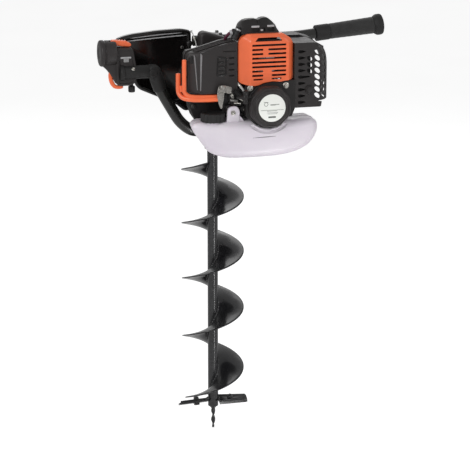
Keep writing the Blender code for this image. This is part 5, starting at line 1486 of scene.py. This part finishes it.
def build_coupling_pin():
    """Bolt and nut through the bit's tube and the gearbox shaft."""
    low, high = node_box("coupling_pin")
    middle = (low + high) / 2
    head = bolt_head(12.5, 5.4, 8, (low.x + 6, middle.y, middle.z), (-1, 0, 0))
    nut = bolt_head(12, 5, 7.2, (high.x - 5.2, middle.y, middle.z), (1, 0, 0))
    stem = turned([(3.9, 0), (3.9, high.x - low.x - 12)], (low.x + 6, middle.y, middle.z), (1, 0, 0), 32)
    piece("coupling_bolt", joined(head, nut, stem), ZINC, body="auger_bit", stands_for="coupling_pin")


# ---------------------------------------------------------------- gearbox, clamp and hood

def build_gearbox_details():
    """Ribs, cover screws and a filler plug on the cast gearbox."""
    low, _ = node_box("gearbox_housing")
    cover_low, _ = node_box("gearbox_cover")
    centre_z = CRANK.z
    back = low.y + 34
    ribs = []
    for turn in (35, 60, 120, 145, 180, 215, 325):
        a = math.radians(turn)
        inner, outer = 34, 77
        rib = plate(rounded([(inner, 0), (outer, 0), (outer, 2), (inner, 13)], 0.8, 2), depth=3.6, edge=0.8)
        placed(rib, (0, -1.8, 0))
        spin = Matrix.Rotation(-a, 4, "Y") @ Matrix.Rotation(-math.pi / 2, 4, "X")
        ribs.append(moved(rib, Matrix.Translation((0, back - 0.5, centre_z)) @ spin))
    for turn in range(0, 360, 45):
        a = math.radians(turn + 22)
        start = Vector((60 * math.cos(a), 60 * math.sin(a), low.z + 76))
        ribs.append(tube([start, start + Vector((0, 0, 64))], 2.2, 12))
    piece("gearbox_ribs", joined(*ribs), DARK_CAST)
    screws = []
    rim = 72
    for turn in (50, 85, 120, 155, 190, 225, 260, 300):
        a = math.radians(turn)
        x, z = rim * math.cos(a), centre_z + rim * math.sin(a)
        for y, facing in ((cover_low.y - 0.2, -1), (back, 1)):
            screws.append(bolt_head(8, 5, 6, (x, y, z), (0, facing, 0)))
    screws.append(bolt_head(14, 7, 10, (-44, 41, centre_z + 8), (-0.73, 0.68, 0)))
    piece("gearbox_screws", joined(*screws), DARK_STEEL)
    collar = turned([(26, 0), (29, 1), (29.6, 3), (29.6, 10), (28.6, 12), (26, 12.6)], (0, 0, low.z),
                    (0, 0, 1), 64)
    piece("neck_ring", collar, DARK_CAST)


def build_bracket():
    """Pillar with a split cap that clamps the handle bar, held by four bolts."""
    low, high = node_box("handle_bracket")
    bar_z = node_box("handle_bar")[0].z + 12.5
    pillar_rim = [(low.x, bar_z - 1), (high.x, bar_z - 1), (high.x, bar_z - 16), (high.x - 7, bar_z - 26),
                  (high.x - 5, low.z + 8), (high.x, low.z), (low.x, low.z), (low.x + 5, low.z + 8),
                  (low.x + 7, bar_z - 26), (low.x, bar_z - 16)]
    pillar = plate(rounded(pillar_rim, 4), depth=high.y - low.y, edge=2.2, steps=3)
    cap_rim = [(low.x, bar_z + 1), (high.x, bar_z + 1), (high.x, high.z - 5), (high.x - 5, high.z),
               (low.x + 5, high.z), (low.x, high.z - 5)]
    cap = plate(rounded(cap_rim, 3), depth=high.y - low.y, edge=2.2, steps=3)
    clamp = piece("bar_clamp", placed(joined(pillar, cap), (0, low.y, 0)), CAST,
                  stands_for="handle_bracket")
    cut_away(clamp, turned([(12.7, -40), (12.7, 40)], (0, 0, bar_z), (1, 0, 0), 64))
    bolts = []
    for x in (low.x + 8, high.x - 8):
        for y in (low.y + 5, high.y - 5):
            bolts.append(bolt_head(7, 4.4, 4.9, (x, y, high.z - 0.2), (0, 0, 1)))
    piece("bar_clamp_bolts", joined(*bolts), DARK_STEEL)


# ---------------------------------------------------------------- finishes of the CAD pieces that stay

def refinish():
    """Give the CAD nodes that stay visible or turn inside a node material and smooth shading, and soft edges
    to those in widths.
    """
    table = {DARK_CAST: ("gearbox_cover", "gearbox_housing"),
             CAST: ("crankcase_front", "crankcase_rear", "cylinder", "carburettor", "piston"),
             STEEL: ("output_bearing", "output_shaft", "output_bevel_gear", "layshaft", "layshaft_gear",
                     "clutch_drum", "clutch_shoe_a", "clutch_shoe_b", "crank_half_front", "crank_half_rear",
                     "connecting_rod", "crank_pin", "spark_plug"), SOOTY: ("muffler",),
             DARK: ("plug_cap", "filter_base", "recoil_pulley", "cylinder_shroud", "flywheel_fan"),
             FILTER: ("filter_element",), }
    widths = {"muffler": 3.5, "cylinder_shroud": 1.2, "gearbox_housing": 1.0, "gearbox_cover": 1.2,
              "filter_base": 1.2}
    for finish, nodes in table.items():
        for name in nodes:
            thing = frame["nodes"][name]
            thing.data.materials.clear()
            thing.data.materials.append(finish)
            shade(thing.data, 32)
            if name in widths:
                soften(thing, widths[name], 3)


# ---------------------------------------------------------------- studio

def build_studio():
    """Pale floor, soft lights, and the camera 15 degrees up and 15 degrees round to the left."""
    floor_size = 60.0
    bpy.ops.mesh.primitive_plane_add(size=floor_size, location=(0, 0, -0.0015))
    floor = bpy.context.object
    floor.name = "floor"
    nodes = Nodes("floor")
    nodes.colour(nodes.mix(nodes.span(nodes.noise(2, 2), 0.3, 0.7), (0.86, 0.86, 0.86), (0.88, 0.88, 0.88)))
    nodes.rough(0.6)
    nodes.set("Specular IOR Level", 0.0)
    nodes.set("Emission Color", (1, 1, 1))
    seen = nodes.add("ShaderNodeLightPath").outputs["Is Camera Ray"]
    nodes.set("Emission Strength", nodes.span(seen, 0, 1, 0.0, 0.5))
    floor.data.materials.append(nodes.material)
    world = bpy.data.worlds.new("studio")
    bpy.context.scene.world = world
    world.use_nodes = True
    sky = world.node_tree.nodes["Background"]
    sky.inputs["Color"].default_value = (1, 1, 1, 1)
    seen = world.node_tree.nodes.new("ShaderNodeLightPath").outputs["Is Camera Ray"]
    strength = world.node_tree.nodes.new("ShaderNodeMapRange")
    strength.inputs["To Min"].default_value = 0.5
    strength.inputs["To Max"].default_value = 1.0
    world.node_tree.links.new(seen, strength.inputs["Value"])
    world.node_tree.links.new(strength.outputs["Result"], sky.inputs["Strength"])
    for name, place, width, height, power, aim_z in (
            ("key", (-2.7, -2.1, 2.3), 1.2, 1.2, 44, 0.7),
            ("fill", (2.2, -2.2, 1.8), 1.4, 1.4, 12, 0.7),
            ("back", (0.6, 2.6, 2.4), 2.0, 2.0, 16, 0.7),
            ("strip", (0.22, -0.57, 0.3), 0.03, 0.62, 1.1, 0.3)):
        data = bpy.data.lights.new(name, "AREA")
        data.shape = "RECTANGLE"
        data.size = width
        data.size_y = height
        data.energy = power
        lamp = bpy.data.objects.new(name, data)
        lamp.location = place
        lamp.visible_camera = False
        aim = Vector((0, 0, aim_z)) - Vector(place)
        lamp.rotation_euler = aim.to_track_quat("-Z", "Y").to_euler()
        bpy.context.scene.collection.objects.link(lamp)
    data = bpy.data.cameras.new("camera")
    camera = bpy.data.objects.new("camera", data)
    bpy.context.scene.collection.objects.link(camera)
    distance, view_width = 5.0, 1.1562
    turn, tilt = math.radians(15), math.radians(15)
    look = Vector((math.sin(turn) * math.cos(tilt), math.cos(turn) * math.cos(tilt), -math.sin(tilt)))
    target = Vector((0.08344, 0.1042, 0.45623))
    camera.location = target - look * distance
    camera.rotation_euler = look.to_track_quat("-Z", "Y").to_euler()
    data.angle = 2 * math.atan(0.5 * view_width / distance)
    bpy.context.scene.camera = camera
    bpy.context.scene.view_settings.view_transform = "Standard"


def main():
    build_front_shroud()
    build_recoil()
    build_shroud_bolts()
    build_fan_housing()
    build_muffler_guard()
    build_air_filter()
    build_filter_guard()
    build_tank()
    build_fuel_cap()
    build_top_cover()
    build_ignition()
    build_choke()
    build_carburettor()
    build_throttle_arm()
    build_starter_handle()
    build_hip_panel()
    build_back_cover()
    build_cable()
    build_throttle_housing()
    build_stop_switch()
    build_trigger()
    build_lockout()
    build_elbow()
    build_knob()
    build_handle_bar()
    build_left_tube()
    build_bit_tube()
    build_flight()
    build_blades()
    build_pilot()
    build_coupling_pin()
    build_gearbox_details()
    build_bracket()
    refinish()
    build_studio()


main()
